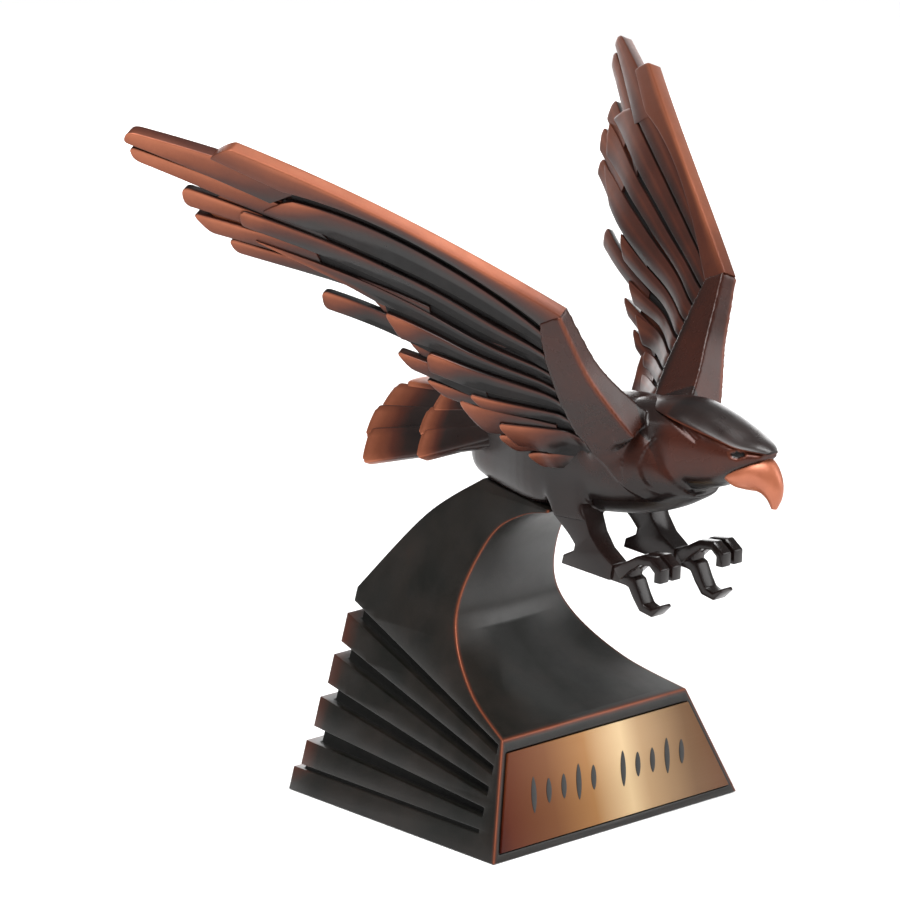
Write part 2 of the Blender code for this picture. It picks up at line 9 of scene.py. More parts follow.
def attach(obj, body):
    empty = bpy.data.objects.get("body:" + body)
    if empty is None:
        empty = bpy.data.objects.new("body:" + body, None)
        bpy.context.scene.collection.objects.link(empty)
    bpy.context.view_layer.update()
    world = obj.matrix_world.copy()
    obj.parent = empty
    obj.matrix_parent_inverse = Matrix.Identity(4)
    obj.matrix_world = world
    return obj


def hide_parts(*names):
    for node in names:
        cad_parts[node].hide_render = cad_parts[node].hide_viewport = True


# Looks of the resin eagle award. The eagle and the plinth are rebuilt here with rounded edges and
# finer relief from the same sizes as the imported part, in millimetres above the plinth's underside.

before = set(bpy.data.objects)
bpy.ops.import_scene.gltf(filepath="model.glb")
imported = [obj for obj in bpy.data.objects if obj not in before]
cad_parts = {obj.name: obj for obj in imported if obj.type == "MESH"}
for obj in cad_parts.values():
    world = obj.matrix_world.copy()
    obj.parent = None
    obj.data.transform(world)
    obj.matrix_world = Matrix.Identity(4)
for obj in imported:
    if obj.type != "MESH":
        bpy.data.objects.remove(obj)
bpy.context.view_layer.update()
MM = 0.001

# The camera, worked out from the photo: direction towards it, distance, and the point it looks at
CAMERA_TURN = -0.8552113
CAMERA_RISE = 0.2120342
CAMERA_DISTANCE = 2325.0
CAMERA_ACROSS = -11.63
CAMERA_UP = 104.58
CAMERA_LENS = 310.435
BIRD_SHIFT = -1.85

# Sizes of the plinth
BASE_FRONT_WIDTH = 112.0
BASE_REAR_WIDTH = 60.0
BASE_DEPTH = 103.7
SIDE_LEAN = 0.353
FACE_HEIGHT = 33.0
FACE_LEAN = 8.5
SEAT_FRONT_HEIGHT = 97.5
SEAT_REAR_HEIGHT = 100.7
SEAT_FRONT = 11.0
SEAT_REAR = 44.4
WAIST = 42.5
WAIST_HEIGHT = 68.0
EDGE_ROUND = 0.8
FIN_COUNT = 4
FIN_TOP_REAR = 53.0
FIN_STEP_REAR = 12.8
FIN_TOP_FRONT = 29.0
FIN_STEP_FRONT = 5.9
FIN_STEP_OUT = 2.0
FIN_REACH = 94.5
SLOT_REAR = 4.4
SLOT_FRONT = 2.6
SLOT_DEPTH = 3.2
NOTCH_DEPTH = 4.6
SLAB_HEIGHT = 6.6
LEDGE_SLOT = 1.2
BORDER = 10.0
PLATE_WIDTH = 105.0
PLATE_HEIGHT = 27.6
PLATE_FOOT = 2.6
PLATE_THICKNESS = 0.9
PLATE_RECESS = 0.5
GAP = 0.3

# Sizes of the bird's wing
WRIST = (-61.3, 161.3)
ARM_LINE = -52.5
WING_THICKNESS = 5.0
WING_FOOT = -35.9
WING_SWEEP = 0.406
WING_SPREAD = 0.626
WING_BOW = 4.5
WING_SPAN = 105.0
LEAD_OUT = (15.0, 208.6)
LEAD_SLOPE = 0.613
LEAD_RISE = 0.021
SHOULDER_SWELL = 7.0
SHOULDER_DROP = 36.0
FOOT_SWELL = 5.0
ROOT_FLARE = 12.0
LOW_FLARE = 5.0
CAMBER = 2.6
THROUGH = Vector((0.9, -0.23, -0.37)).normalized()
GROOVE_WIDTH = 2.8
INNER_GROOVE_WIDTH = 0.8
ROOT_COVER = 1.6
WEB_THICKNESS = 1.7
WEB_HALF = 3.0
LEAD_TURN = 0.84
LEAD_SLANT_END = (22.0, 205.4)

# Each covert: its upper line's root height, bow and end, then its lower line's
OUTER_COVERTS = [
    (155.2, 0.084, (5.0, 193.9), 148.1, 0.030, (14.5, 188.6)),
    (148.1, 0.030, (18.3, 190.4), 141.9, 0.012, (20.5, 184.0)),
    (141.9, 0.012, (19.0, 181.4), 136.7, 0.030, (-7.4, 160.4)),
    (136.7, 0.030, (-8.5, 159.4), 131.9, 0.045, (-11.6, 150.0)),
    (131.9, 0.045, (-19.8, 147.6), 127.1, 0.0, (-18.8, 140.6)),
    (127.1, 0.0, (-29.8, 135.6), 122.0, 0.0, (-31.0, 130.0)),
    (122.0, 0.0, (-33.6, 125.9), 113.2, 0.0, (-34.0, 117.2)),
]
OUTER_GROOVES = [2.8, 2.8, 2.7, 2.5, 1.9, 1.5, 1.0]
INNER_COVERTS = [
    (162.0, 0.050, (23.0, 205.6), 158.9, 0.025, (16.8, 195.8)),
    (158.9, 0.025, (17.6, 195.7), 154.2, 0.030, (27.6, 190.4)),
    (154.2, 0.030, (29.2, 189.4), 149.0, 0.041, (23.2, 180.4)),
    (149.0, 0.041, (22.8, 178.6), 144.4, 0.0, (9.6, 169.0)),
    (144.4, 0.0, (-3.6, 163.9), 140.1, -0.010, (-8.2, 156.4)),
    (140.1, -0.010, (-12.1, 151.7), 135.7, 0.0, (-16.6, 144.6)),
    (135.7, 0.0, (-17.9, 142.4), 131.7, 0.0, (-24.8, 134.2)),
    (131.7, 0.0, (-27.1, 133.2), 127.6, 0.0, (-28.8, 128.8)),
    (127.6, 0.0, (-30.3, 127.4), 123.4, 0.0, (-33.6, 123.4)),
    (123.4, 0.0, (-34.0, 122.4), 117.0, 0.0, (-36.4, 114.0)),
]
# Each primary: its upper line's root and end, then its lower line's
PRIMARIES = [
    ((-2.0, 197.0), (39.6, 212.8), (10.6, 191.4), (42.3, 209.6)),
    ((4.0, 188.6), (40.8, 207.9), (-2.0, 177.6), (41.6, 203.8)),
    ((14.0, 187.2), (31.4, 195.5), (14.0, 181.6), (33.4, 189.6)),
    ((4.0, 177.4), (31.8, 187.4), (4.0, 171.6), (29.8, 181.2)),
    ((-22.0, 160.4), (24.9, 179.6), (-22.0, 156.0), (25.4, 175.2)),
    ((-24.0, 149.6), (7.2, 163.4), (-24.0, 144.0), (8.3, 157.8)),
    ((-34.0, 137.6), (-10.1, 146.0), (-34.0, 131.5), (-13.4, 140.8)),
    ((-40.0, 129.8), (-17.2, 138.0), (-40.0, 124.4), (-20.8, 132.8)),
    ((-46.0, 124.4), (-25.1, 132.3), (-46.0, 119.4), (-28.0, 121.0)),
    ((-52.0, 119.4), (-31.2, 121.0), (-54.0, 116.4), (-32.4, 114.8)),
    ((-53.0, 116.2), (-34.8, 114.3), (-56.0, 111.6), (-36.6, 109.2)),
]
PRIMARY_RISE = 0.012
PRIMARY_SINKS = [0.2, 0.8, 1.1, 0.65, 0.5, 1.35, 0.9, 1.2, 0.95, 0.6, 1.0]


# Small helpers

def eased(value, start, end):
    """A share that rises smoothly from 0 at the start to 1 at the end."""
    share = np.clip((value - start) / (end - start), 0.0, 1.0)
    return share * share * (3 - 2 * share)


def between(a, b, t):
    return tuple(p + (q - p) * t for p, q in zip(a, b))


def smooth_curve(points, steps):
    """Points along a Catmull-Rom curve through a few given points."""
    ends = [points[0], *points, points[-1]]
    curve = []
    for a, b, c, d in zip(ends[:-3], ends[1:-2], ends[2:-1], ends[3:]):
        for i in range(steps):
            t = i / steps
            curve.append(tuple(
                0.5 * (2 * q + (r - p) * t + (2 * p - 5 * q + 4 * r - s) * t * t
                       + (3 * q - p - 3 * r + s) * t ** 3)
                for p, q, r, s in zip(a, b, c, d)))
    curve.append(tuple(points[-1]))
    return curve


def placed(point):
    """A drawn point of the bird, set on the plinth."""
    return (point[0], point[1] + BIRD_SHIFT, point[2])


def add_object(name, data):
    item = bpy.data.objects.new(name, data)
    bpy.context.scene.collection.objects.link(item)
    return item


class Shell:
    """Collects lofted skins with their wear and painted shade into one mesh. The value is 0 for black
    lacquer, 1 for copper; painted shade lowers it.
    """

    def __init__(self):
        self.points = []
        self.faces = []
        self.wear_and_shade = []

    def loft(self, rings, wear_and_shade):
        base = len(self.points)
        count = len(rings[0])
        for ring, values in zip(rings, wear_and_shade):
            self.points.extend(ring)
            self.wear_and_shade.extend(values)
        for row in range(len(rings) - 1):
            start = base + row * count
            for i in range(count):
                j = (i + 1) % count
                self.faces.append((start + i, start + j, start + count + j, start + count + i))
        self.faces.append(tuple(range(base, base + count)))
        last = base + (len(rings) - 1) * count
        self.faces.append(tuple(range(last, last + count)))

    def build(self, name):
        mesh = bpy.data.meshes.new(name)
        mesh.from_pydata([Vector(point) * MM for point in self.points], [], self.faces)
        shape = bmesh.new()
        shape.from_mesh(mesh)
        bmesh.ops.recalc_face_normals(shape, faces=shape.faces)
        shape.to_mesh(mesh)
        shape.free()
        item = add_object(name, mesh)
        write_layer(mesh, "wear_and_shade", self.wear_and_shade)
        return item


def write_layer(mesh, name, values):
    layer = mesh.attributes.get(name) or mesh.attributes.new(name, "FLOAT", "POINT")
    layer.data.foreach_set("value", np.asarray(values, np.float32))


def read_points(mesh):
    """The mesh's points in millimetres."""
    points = np.zeros(len(mesh.vertices) * 3)
    mesh.vertices.foreach_get("co", points)
    return points.reshape(-1, 3) / MM


def finish_piece(item, skin, angle):
    """Smooth shading with crisp creases, then the material and the body it rides on."""
    mesh = item.data
    mesh.materials.clear()
    mesh.materials.append(skin)
    mesh.polygons.foreach_set("use_smooth", [True] * len(mesh.polygons))
    mesh.polygons.foreach_set("material_index", [0] * len(mesh.polygons))
    mesh.set_sharp_from_angle(angle=math.radians(angle))
    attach(item, "root")
    return item


def plain(rings, value=0.0):
    return [[value] * len(ring) for ring in rings]


def solid(name, rings):
    shell = Shell()
    shell.loft(rings, plain(rings))
    return shell.build(name)


def bake_modifiers(item):
    graph = bpy.context.evaluated_depsgraph_get()
    mesh = bpy.data.meshes.new_from_object(item.evaluated_get(graph))
    item.modifiers.clear()
    item.data = mesh


def cut(item, rings):
    block = solid("cutter", rings)
    step = item.modifiers.new("cut", "BOOLEAN")
    step.operation = "DIFFERENCE"
    step.solver = "EXACT"
    step.object = block
    bake_modifiers(item)
    bpy.data.objects.remove(block, do_unlink=True)


def add_bevel(item, width, segments, angle):
    bevel = item.modifiers.new("rounded_edges", "BEVEL")
    bevel.width = width * MM
    bevel.segments = segments
    bevel.limit_method = "ANGLE"
    bevel.angle_limit = math.radians(angle)
    bake_modifiers(item)


# The wings

def lead_height(y):
    return WRIST[1] + LEAD_SLOPE * (y - WRIST[0])


def wing_x(y, z):
    """How far out the wing's outer face lies: a leaning plane with a bow, swellings and a camber."""
    along = min(1.0, max(0.0, (y - WRIST[0]) / WING_SPAN))
    low = min(1.0, max(0.0, (WRIST[1] - z) / SHOULDER_DROP))
    shoulder = SHOULDER_SWELL * low * eased(-y, 46.0, 58.0)
    bow = WING_BOW * math.sin(math.pi * along)
    flare = ROOT_FLARE * eased(-z, -168.0, -130.0) - LOW_FLARE * eased(-z, -128.0, -108.0)
    camber = CAMBER * eased(lead_height(y) - z, 6.0, 28.0) * eased(y, -8.0, 24.0)
    foot = FOOT_SWELL * eased(-z, -121.0, -115.0) * eased(-y, 37.0, 45.0) * eased(y, -53.0, -47.0)
    plane = WING_FOOT + WING_SWEEP * y + WING_SPREAD * z
    return float(plane - bow + shoulder + foot + flare * eased(y, -56.0, -28.0) + camber)


def wing_point(side, y, z, depth):
    """A point of the wing, a depth in from its outer face."""
    x = wing_x(y, z) - depth * THROUGH.x
    return placed((side * x, y - depth * THROUGH.y, z - depth * THROUGH.z))


def line_point(start, end, rise, t):
    length = math.hypot(end[0] - start[0], end[1] - start[1])
    y, z = between(start, end, t)
    return (y, z + rise * length * 4 * t * (1 - t))


def strip_section(width, thick, corner, outer, inner):
    """Places round a feather's section as (share down, share through), with rounded corners."""
    across = min(0.3, corner / max(width, 0.1))
    deep = min(0.4, corner / max(thick, 0.1))
    section = []
    bends = [(0.0, 0.0, 180), (1.0, 0.0, 270), (1.0, 1.0, 0), (0.0, 1.0, 90)]
    fills = [outer, [], inner[::-1], []]
    for (down, through, start), fill in zip(bends, fills):
        centre = (across if down == 0.0 else 1 - across, deep if through == 0.0 else 1 - deep)
        for step in range(4):
            angle = math.radians(start + 30 * step)
            section.append((centre[0] + across * math.cos(angle), centre[1] + deep * math.sin(angle)))
        section.extend((share, through) for share in fill)
    return section


def ridge(down, heights):
    """Relief across a feather: its height at the upper edge, near the middle and at the lower edge."""
    if down < 0.45:
        return heights[0] + (heights[1] - heights[0]) * down / 0.45
    return heights[1] + (heights[2] - heights[1]) * (down - 0.45) / 0.55


def feather_wear_and_shade(y, down, through, away):
    """Copper towards the wing tip, at each feather's end and along its upper edge, darker towards the
    lower edge, with painted shade in a thin line along the lower edge and on the inner side's lower
    facet.
    """
    tip = float(eased(y, -30.0, 42.0)) ** 1.5
    end = 0.72 * float(eased(-away, -17.0, -1.0))
    if through < 0.5:
        body = 0.12 + 0.85 * max(tip, end)
        # Darker towards each feather's lower edge.
        body -= (0.34 - 0.16 * tip * tip) * float(eased(down, 0.15, 0.95))
        rim = 0.20 * math.exp(-((down - 0.08) / 0.10) ** 2)
        # Painted shade: a thin dark line along the lower edge, where the feather steps under the next.
        painted_step_shade = 0.75 * math.exp(-((1.0 - down) / 0.05) ** 2)
    else:
        # Inner side: painted shade on the lower facet below the crest.
        body = 0.28 + 0.44 * max(0.85 * tip, 0.5 * end) - 0.08 * float(eased(down, 0.45, 0.6))
        rim = 0.12 * math.exp(-((down - 0.45) / 0.08) ** 2)
        # Painted shade: a thin dark line along the lower edge.
        painted_step_shade = 0.6 * math.exp(-((1.0 - down) / 0.05) ** 2)
    wall = 1 - min(1.0, min(through, 1 - through) / 0.2)
    if 0.1 < down < 0.9:
        wall = 1.0
    return max(0.0, min(1.0, (body + rim) * wall * (1 - painted_step_shade)))


def lead_wear(y, down, through, _):
    """The leading edge is rubbed bright; the face behind it follows the feathers."""
    along = float(eased(y, -66.0, -40.0))
    if down < 0.07:
        return 0.50 + 0.34 * along
    tip = float(eased(y, -30.0, 18.0))
    if through > 0.5:
        face = 0.42 + 0.25 * tip
        rim = (0.5 + 0.50 * along) * math.exp(-((down - 0.07) / 0.35) ** 2)
        return max(rim, face)
    # The face grows darker towards its lower edge.
    face = (0.46 + 0.26 * tip) - (0.34 - 0.10 * tip) * float(eased(down, 0.15, 0.9))
    rim = (0.45 + 0.40 * along) * math.exp(-((down - 0.07) / 0.25) ** 2)
    return max(rim, face)


def web_wear(*_):
    """The floor of the grooves stays black."""
    return 0.0


def end_pinch(away, reach, power, least):
    """The share of its width that a feather keeps near its rounded end."""
    if away >= reach:
        return 1.0
    return max(least, (1 - (1 - away / reach) ** power) ** (1 / power))


def strip(shell, side, lines, depths, shine=feather_wear_and_shade, steps=30, corner=0.45, end_round=3.0,
          crown=(0.0, 0.0, 0.0), keel=(0.0, 0.0, 0.0)):
    """One feather of the wing: a bar between two lines, with rounded edges and a rounded end."""
    top_line, bottom_line = lines
    length = math.dist(top_line(0.0), top_line(1.0))
    thick = depths[1] - depths[0]
    rings = []
    wear_and_shade = []
    for i in range(steps + 1):
        t = math.sin(math.pi / 2 * i / steps)
        away = length * (1 - t)
        lost = 1 - end_pinch(away, end_round, 2.6, 0.25)
        top = between(top_line(t), bottom_line(t), 0.35 * lost)
        bottom = between(bottom_line(t), top_line(t), 0.65 * lost)
        section = strip_section(math.dist(top, bottom), thick, corner, (0.3, 0.5, 0.7), (0.3, 0.45, 0.7))
        ring = []
        values = []
        for down, through in section:
            y, z = between(top, bottom, down)
            start = depths[0] - ridge(down, crown) + 0.28 * lost
            stop = depths[1] + ridge(down, keel) - 0.28 * lost
            ring.append(wing_point(side, y, z, start + (stop - start) * through))
            values.append(shine(y, down, through, away))
        rings.append(ring)
        wear_and_shade.append(values)
    shell.loft(rings, wear_and_shade)


def bowed(start, end, rise):
    """A line from start to end, bowed up by a share of its length, as a function of the share along."""
    return lambda t: line_point(start, end, rise, t)


def lead_lower(height, rise, end):
    """The leading feather's lower edge: along the first groove, then out to the slanted end."""
    bend = (end[0] + 1.0, end[1] + GROOVE_WIDTH / 2)
    groove = bowed((ARM_LINE - 2.0, height + GROOVE_WIDTH / 2), bend, rise)

    def edge(t):
        if t <= LEAD_TURN:
            return groove(t / LEAD_TURN)
        return between(bend, LEAD_SLANT_END, (t - LEAD_TURN) / (1 - LEAD_TURN))
    return edge


def root_at(height, drop):
    """A covert's root, just inside the arm's rear edge."""
    heights = [place[1] for place in ARM_BACK[::-1]]
    edges = [place[0] for place in ARM_BACK[::-1]]
    return (float(np.interp(height, heights, edges)) - ROOT_COVER, height - drop)


def covert_lines(covert, groove):
    """A covert's upper and lower line, each half a groove in from the line it is drawn by."""
    high, high_rise, high_end, low, low_rise, low_end = covert
    half = groove / 2
    return (bowed(root_at(high, half), (high_end[0], high_end[1] - half), high_rise),
            bowed(root_at(low, -half), low_end, low_rise))


def make_wing(side):
    shell = Shell()
    middle = WING_THICKNESS / 2
    strip(shell, side, (bowed(WRIST, LEAD_OUT, LEAD_RISE), lead_lower(*OUTER_COVERTS[0][:3])),
          (0.0, WING_THICKNESS), lead_wear, steps=70, end_round=0.9, corner=0.6)
    for height, rise, end in [covert[:3] for covert in OUTER_COVERTS]:
        edges = [bowed((ARM_LINE - 4.0, height + half), (end[0], end[1] + half), rise)
                 for half in (WEB_HALF, -WEB_HALF)]
        strip(shell, side, edges, (middle - WEB_THICKNESS / 2, middle + WEB_THICKNESS / 2),
              web_wear, steps=10, end_round=0.1)
    for (root, high, low_root, low), sink in zip(PRIMARIES, PRIMARY_SINKS):
        strip(shell, side, (bowed(root, high, PRIMARY_RISE), bowed(low_root, low, PRIMARY_RISE)),
              (sink, WING_THICKNESS - 0.9 * sink),
              crown=(0.0, 0.0, -0.15), keel=(-0.1, 0.12, -0.15), end_round=2.2)
    for covert, groove in zip(OUTER_COVERTS, OUTER_GROOVES):
        strip(shell, side, covert_lines(covert, groove), (0.25, middle + 0.5),
              crown=(0.15, 0.1, -0.35), end_round=1.6, steps=40)
    for covert in INNER_COVERTS:
        strip(shell, side, covert_lines(covert, INNER_GROOVE_WIDTH), (middle - 0.5, WING_THICKNESS - 0.3),
              keel=(-0.15, 0.14, -0.12), end_round=1.6, corner=0.3, steps=40)
    return shell.build("wing_right" if side < 0 else "wing_left")


# The body: a blended skin with carved lines

# Rows along the bird: y, underside, top, half width, lean
TRUNK = [
    (3.0, 104.6, 121.0, 5.0, 0.0), (-2.0, 101.4, 126.0, 8.8, 0.0), (-14.0, 98.5, 129.5, 13.0, 0.0),
    (-28.0, 96.6, 130.6, 17.4, 0.0), (-42.0, 96.0, 131.0, 19.2, 0.1), (-55.0, 97.0, 131.6, 19.2, 0.25),
    (-65.0, 99.6, 131.6, 18.0, 0.42), (-72.0, 103.0, 131.0, 15.6, 0.55),
    (-75.5, 105.0, 130.4, 13.8, 0.62),
]
HEAD = [
    (-60.0, 108.0, 131.0, 14.5, 0.3), (-67.0, 107.6, 132.0, 14.2, 0.3), (-75.0, 107.4, 132.2, 12.9, 0.25),
    (-84.0, 108.0, 131.2, 10.8, 0.12), (-90.0, 109.2, 128.6, 9.6, 0.05), (-94.0, 110.8, 127.0, 9.0, 0.0),
    (-98.0, 113.4, 125.0, 8.2, 0.0), (-102.0, 116.2, 122.8, 6.8, 0.0), (-106.0, 118.8, 121.2, 4.2, 0.0),
]
# Rows along the crown: y, brow height, top height, half width
CAP = [(-64.0, 130.0, 132.0, 3.0), (-71.0, 130.2, 133.1, 8.4), (-79.0, 128.8, 133.4, 10.6),
       (-87.0, 126.8, 131.0, 10.4), (-94.0, 124.8, 128.0, 9.4), (-99.6, 123.0, 125.4, 8.2),
       (-104.2, 121.9, 123.6, 5.6), (-107.6, 121.0, 121.8, 2.4)]
# Rows along the beak: y, z, half depth, half width, heading in degrees
BEAK = [
    (-94.6, 113.6, 2.2, 6.4, 0.0), (-97.0, 113.6, 3.8, 7.2, 0.0), (-99.8, 114.2, 4.8, 7.0, -8.0),
    (-103.4, 114.4, 5.6, 5.8, -24.0), (-106.8, 111.6, 4.1, 4.0, -55.0), (-108.3, 108.2, 2.5, 2.4, -80.0),
    (-108.2, 104.9, 0.9, 0.9, -95.0),
]
ARM_FRONT = [(-61.2, 161.2), (-62.6, 152.0), (-64.5, 142.0), (-68.5, 132.0), (-72.0, 124.0)]
ARM_BACK = [(-54.0, 158.4), (-52.0, 148.5), (-51.4, 138.5), (-52.4, 128.0), (-56.4, 113.0)]
ARM_DEPTHS = [(-0.5, 5.5), (-0.8, 6.1), (-0.9, 7.2), (-0.9, 9.5), (-0.3, 13.0)]

SKIN_VOXEL = 0.55
SKIN_ROUNDS = 5
SHOULDER_ROUNDS = 60
THIGH_REACH = 0.3
SEAT_LIFT = 0.1
COLLAR_RISE = 0.8
ARM_RISE = 0.45
FOLD_DEPTH = 0.5
EYE_DEPTH = 0.8

# Lines carved on the bird, in the side view
BROW_LINE = [(-72.9, 131.2), (-80.4, 129.2), (-87.8, 126.7), (-95.3, 124.2), (-100.8, 122.7),
             (-106.0, 121.6)]
COLLAR_LINE = [(-77.6, 126.3), (-74.4, 123.4), (-72.2, 119.4), (-71.4, 115.4), (-72.7, 110.8),
               (-76.5, 106.6)]
FOLD_LINE = [(-71.0, 130.9), (-74.7, 130.2), (-78.9, 128.4), (-83.4, 125.8), (-86.7, 123.6)]
ARM_UNDER = [(-52.4, 120.4), (-60.1, 114.4), (-64.8, 109.4), (-70.5, 105.0)]
EYE = [(-97.5, 121.3), (-99.7, 122.4), (-102.3, 122.0), (-102.6, 120.5), (-100.4, 119.3), (-98.2, 119.9)]


def oval(y, low, high, half, tilt, power, count):
    """One ring of the skin; its underside grows boxier towards the tail."""
    middle = (low + high) / 2
    ring = []
    boxy = power + 2.6 * float(eased(y, -46.0, -32.0))
    for i in range(count):
        angle = 2 * math.pi * (i + 0.5) / count
        bend = 2 / (boxy if math.sin(angle) < 0 else power)
        across = math.copysign(abs(math.cos(angle)) ** bend, math.cos(angle))
        up = math.copysign(abs(math.sin(angle)) ** bend, math.sin(angle))
        rise = up * (high - low) / 2
        ring.append(placed((across * half, y + tilt * rise, middle + rise)))
    return ring


def make_trunk():
    trunk = [oval(*row, 2.3, 48) for row in smooth_curve(TRUNK, 4)]
    item = solid("trunk", trunk)
    cut_at_seat(item)
    return item


def head_and_arms(shell):
    head = [oval(*row, 2.4, 40) for row in smooth_curve(HEAD, 4)]
    shell.loft(head, plain(head))
    for side in (-1, 1):
        reach = LEG_HALF + THIGH_FLARE + THIGH_REACH
        thigh = [[placed((side * (LEG_X + half), y, z)) for y, z in THIGH] for half in (reach, -reach)]
        shell.loft(thigh, plain(thigh))
        rings = []
        curves = [smooth_curve(line, 5) for line in (ARM_FRONT, ARM_BACK, ARM_DEPTHS)]
        for fore, aft, (outer, inner) in zip(*curves):
            rings.append([wing_point(side, *fore, outer), wing_point(side, *aft, outer),
                          wing_point(side, *aft, inner), wing_point(side, *fore, inner)])
        shell.loft(rings, plain(rings))


def cap_rings(count):
    rings = []
    for y, brow, crown, half in smooth_curve(CAP, 5):
        ring = []
        for i in range(count + 1):
            angle = math.pi * i / count
            height = brow + (crown - brow) * math.sin(angle) ** 1.2
            ring.append(placed((half * math.cos(angle), y, height)))
        ring.append(placed((-0.6 * half, y, brow - 0.3)))
        ring.append(placed((0.6 * half, y, brow - 0.3)))
        rings.append(ring)
    return rings


def beak_rings(count):
    rings = []
    for y, z, depth, half, heading in smooth_curve(BEAK, 6):
        turn = math.radians(heading)
        ring = []
        for i in range(count):
            angle = 2 * math.pi * i / count
            across = half * math.cos(angle)
            rise = depth * math.sin(angle)
            ring.append(placed((across, y + rise * math.sin(turn), z + rise * math.cos(turn))))
        rings.append(ring)
    return rings


def seat_height(y):
    share = (y - front_edge() - SEAT_FRONT) / (SEAT_REAR - SEAT_FRONT)
    return SEAT_FRONT_HEIGHT + share * (SEAT_REAR_HEIGHT - SEAT_FRONT_HEIGHT)


def cut_at_seat(item):
    """Trims the belly flat where it stands on the plinth."""
    fore = front_edge() + SEAT_FRONT - GAP
    aft = front_edge() + SEAT_REAR + 12.0
    low = SEAT_FRONT_HEIGHT - 20.0
    outline = [(fore, low), (fore, seat_height(fore) + SEAT_LIFT),
               (aft, seat_height(aft) + SEAT_LIFT), (aft, low)]
    cut(item, [[(x, y, z) for y, z in outline] for x in (-30.0, 30.0)])


def join_into(item, other):
    """Puts another object's faces in the item's mesh and drops the other."""
    shape = bmesh.new()
    shape.from_mesh(item.data)
    shape.from_mesh(other.data)
    shape.to_mesh(item.data)
    shape.free()
    bpy.data.objects.remove(other, do_unlink=True)


def distance_to_line(points, line):
    """Distance from each point to a line and, for side-view points, the side of it they lie on."""
    best = np.full(len(points), 1e9)
    hand = np.zeros(len(points))
    for a, b in zip(line[:-1], line[1:]):
        a = np.array(a)
        b = np.array(b)
        along = b - a
        share = np.clip((points - a) @ along / (along @ along), 0.0, 1.0)
        apart = points - (a + share[:, None] * along)
        distance = np.linalg.norm(apart, axis=1)
        nearer = distance < best
        best[nearer] = distance[nearer]
        cross = along[0] * apart[:, 1] - along[1] * apart[:, 0]
        hand[nearer] = np.sign(cross[nearer])
    return best, hand


def inside_shape(points, outline):
    inside = np.zeros(len(points), bool)
    for (ay, az), (by, bz) in zip(outline, outline[1:] + outline[:1]):
        crosses = (az > points[:, 1]) != (bz > points[:, 1])
        at = (by - ay) * (points[:, 1] - az) / (bz - az + 1e-9) + ay
        inside ^= crosses & (points[:, 0] < at)
    return inside


def carve(points, normals, line, width, depth, keep):
    """Cuts a soft-sided groove along a line of the side view."""
    curve = smooth_curve(line, 6)
    distance, _ = distance_to_line(points[:, 1:], curve)
    cut = depth * np.exp(-(distance / width) ** 2) * keep
    return points - normals * cut[:, None]


def step_across(points, normals, line, height, fall, keep, hand):
    """Raises one side of a line of the side view, falling away with distance."""
    curve = smooth_curve(line, 6)
    distance, side = distance_to_line(points[:, 1:], curve)
    signed = distance * side * hand
    lift = height * eased(signed, -0.25, 0.25) * np.exp(-np.maximum(signed, 0) / fall) * keep
    return points + normals * lift[:, None]


def vertex_normals(mesh):
    normals = np.zeros(len(mesh.vertices) * 3)
    mesh.vertices.foreach_get("normal", normals)
    return normals.reshape(-1, 3)


def add_softening(item, rounds, group=""):
    soft = item.modifiers.new("soft", "SMOOTH")
    soft.factor = 0.5
    soft.iterations = rounds
    soft.vertex_group = group


def soften_shoulders(item):
    """Blends the foot of each arm and the top of each thigh into the flank."""
    x, y, z = read_points(item.data).T
    share = eased(np.abs(x), 5.0, 8.0) * eased(-z, -123.0, -119.5) * eased(z, 102.0, 106.0)
    share *= eased(-y, 44.0, 48.0) * eased(y, -86.0, -82.0)
    thigh = eased(np.abs(x), 6.0, 9.0) * eased(z, 97.5, 101.0) * eased(-z, -114.0, -110.0)
    thigh *= eased(-y, 32.0, 37.0) * eased(y, -64.0, -58.0)
    share = np.maximum(share, 0.8 * thigh)
    group = item.vertex_groups.new(name="shoulders")
    for index in np.flatnonzero(share > 0.01):
        group.add([int(index)], float(share[index]), "REPLACE")
    add_softening(item, SHOULDER_ROUNDS, group.name)
    bake_modifiers(item)


def make_body():
    shell = Shell()
    head_and_arms(shell)
    item = shell.build("body")
    join_into(item, make_trunk())
    step = item.modifiers.new("skin", "REMESH")
    step.mode = "VOXEL"
    step.voxel_size = SKIN_VOXEL * MM
    add_softening(item, SKIN_ROUNDS)
    bake_modifiers(item)
    soften_shoulders(item)
    mesh = item.data
    points = read_points(mesh)
    points[:, 1] -= BIRD_SHIFT
    normals = vertex_normals(mesh)
    x, y, z = points.T
    neck = eased(np.abs(x), 2.0, 5.0) * (y < -66) * (z < 131)
    collar = neck * eased(-z, -125.5, -121.0) * eased(z, 106.0, 110.0)
    flank = eased(np.abs(x), 8.0, 11.0) * eased(-z, -118.0, -115.0)
    points = step_across(points, normals, COLLAR_LINE, COLLAR_RISE, 5.0, collar, 1.0)
    points = step_across(points, normals, ARM_UNDER, ARM_RISE, 2.5, flank, -1.0)
    points = carve(points, normals, FOLD_LINE, 0.7, FOLD_DEPTH, neck)
    eye = inside_shape(points[:, 1:], EYE)
    eye_edge, _ = distance_to_line(points[:, 1:], EYE + EYE[:1])
    points -= normals * (EYE_DEPTH * eye * eased(eye_edge, 0.0, 0.6))[:, None]
    wear_and_shade = body_wear_and_shade(points, normals, eye, eye_edge)
    points[:, 1] += BIRD_SHIFT
    mesh.vertices.foreach_set("co", (points * MM).ravel())
    mesh.update()
    write_layer(mesh, "wear_and_shade", wear_and_shade)
    return item


def rim(points, line, width):
    distance, _ = distance_to_line(points[:, 1:], smooth_curve(line, 6))
    return np.exp(-(distance / width) ** 2)


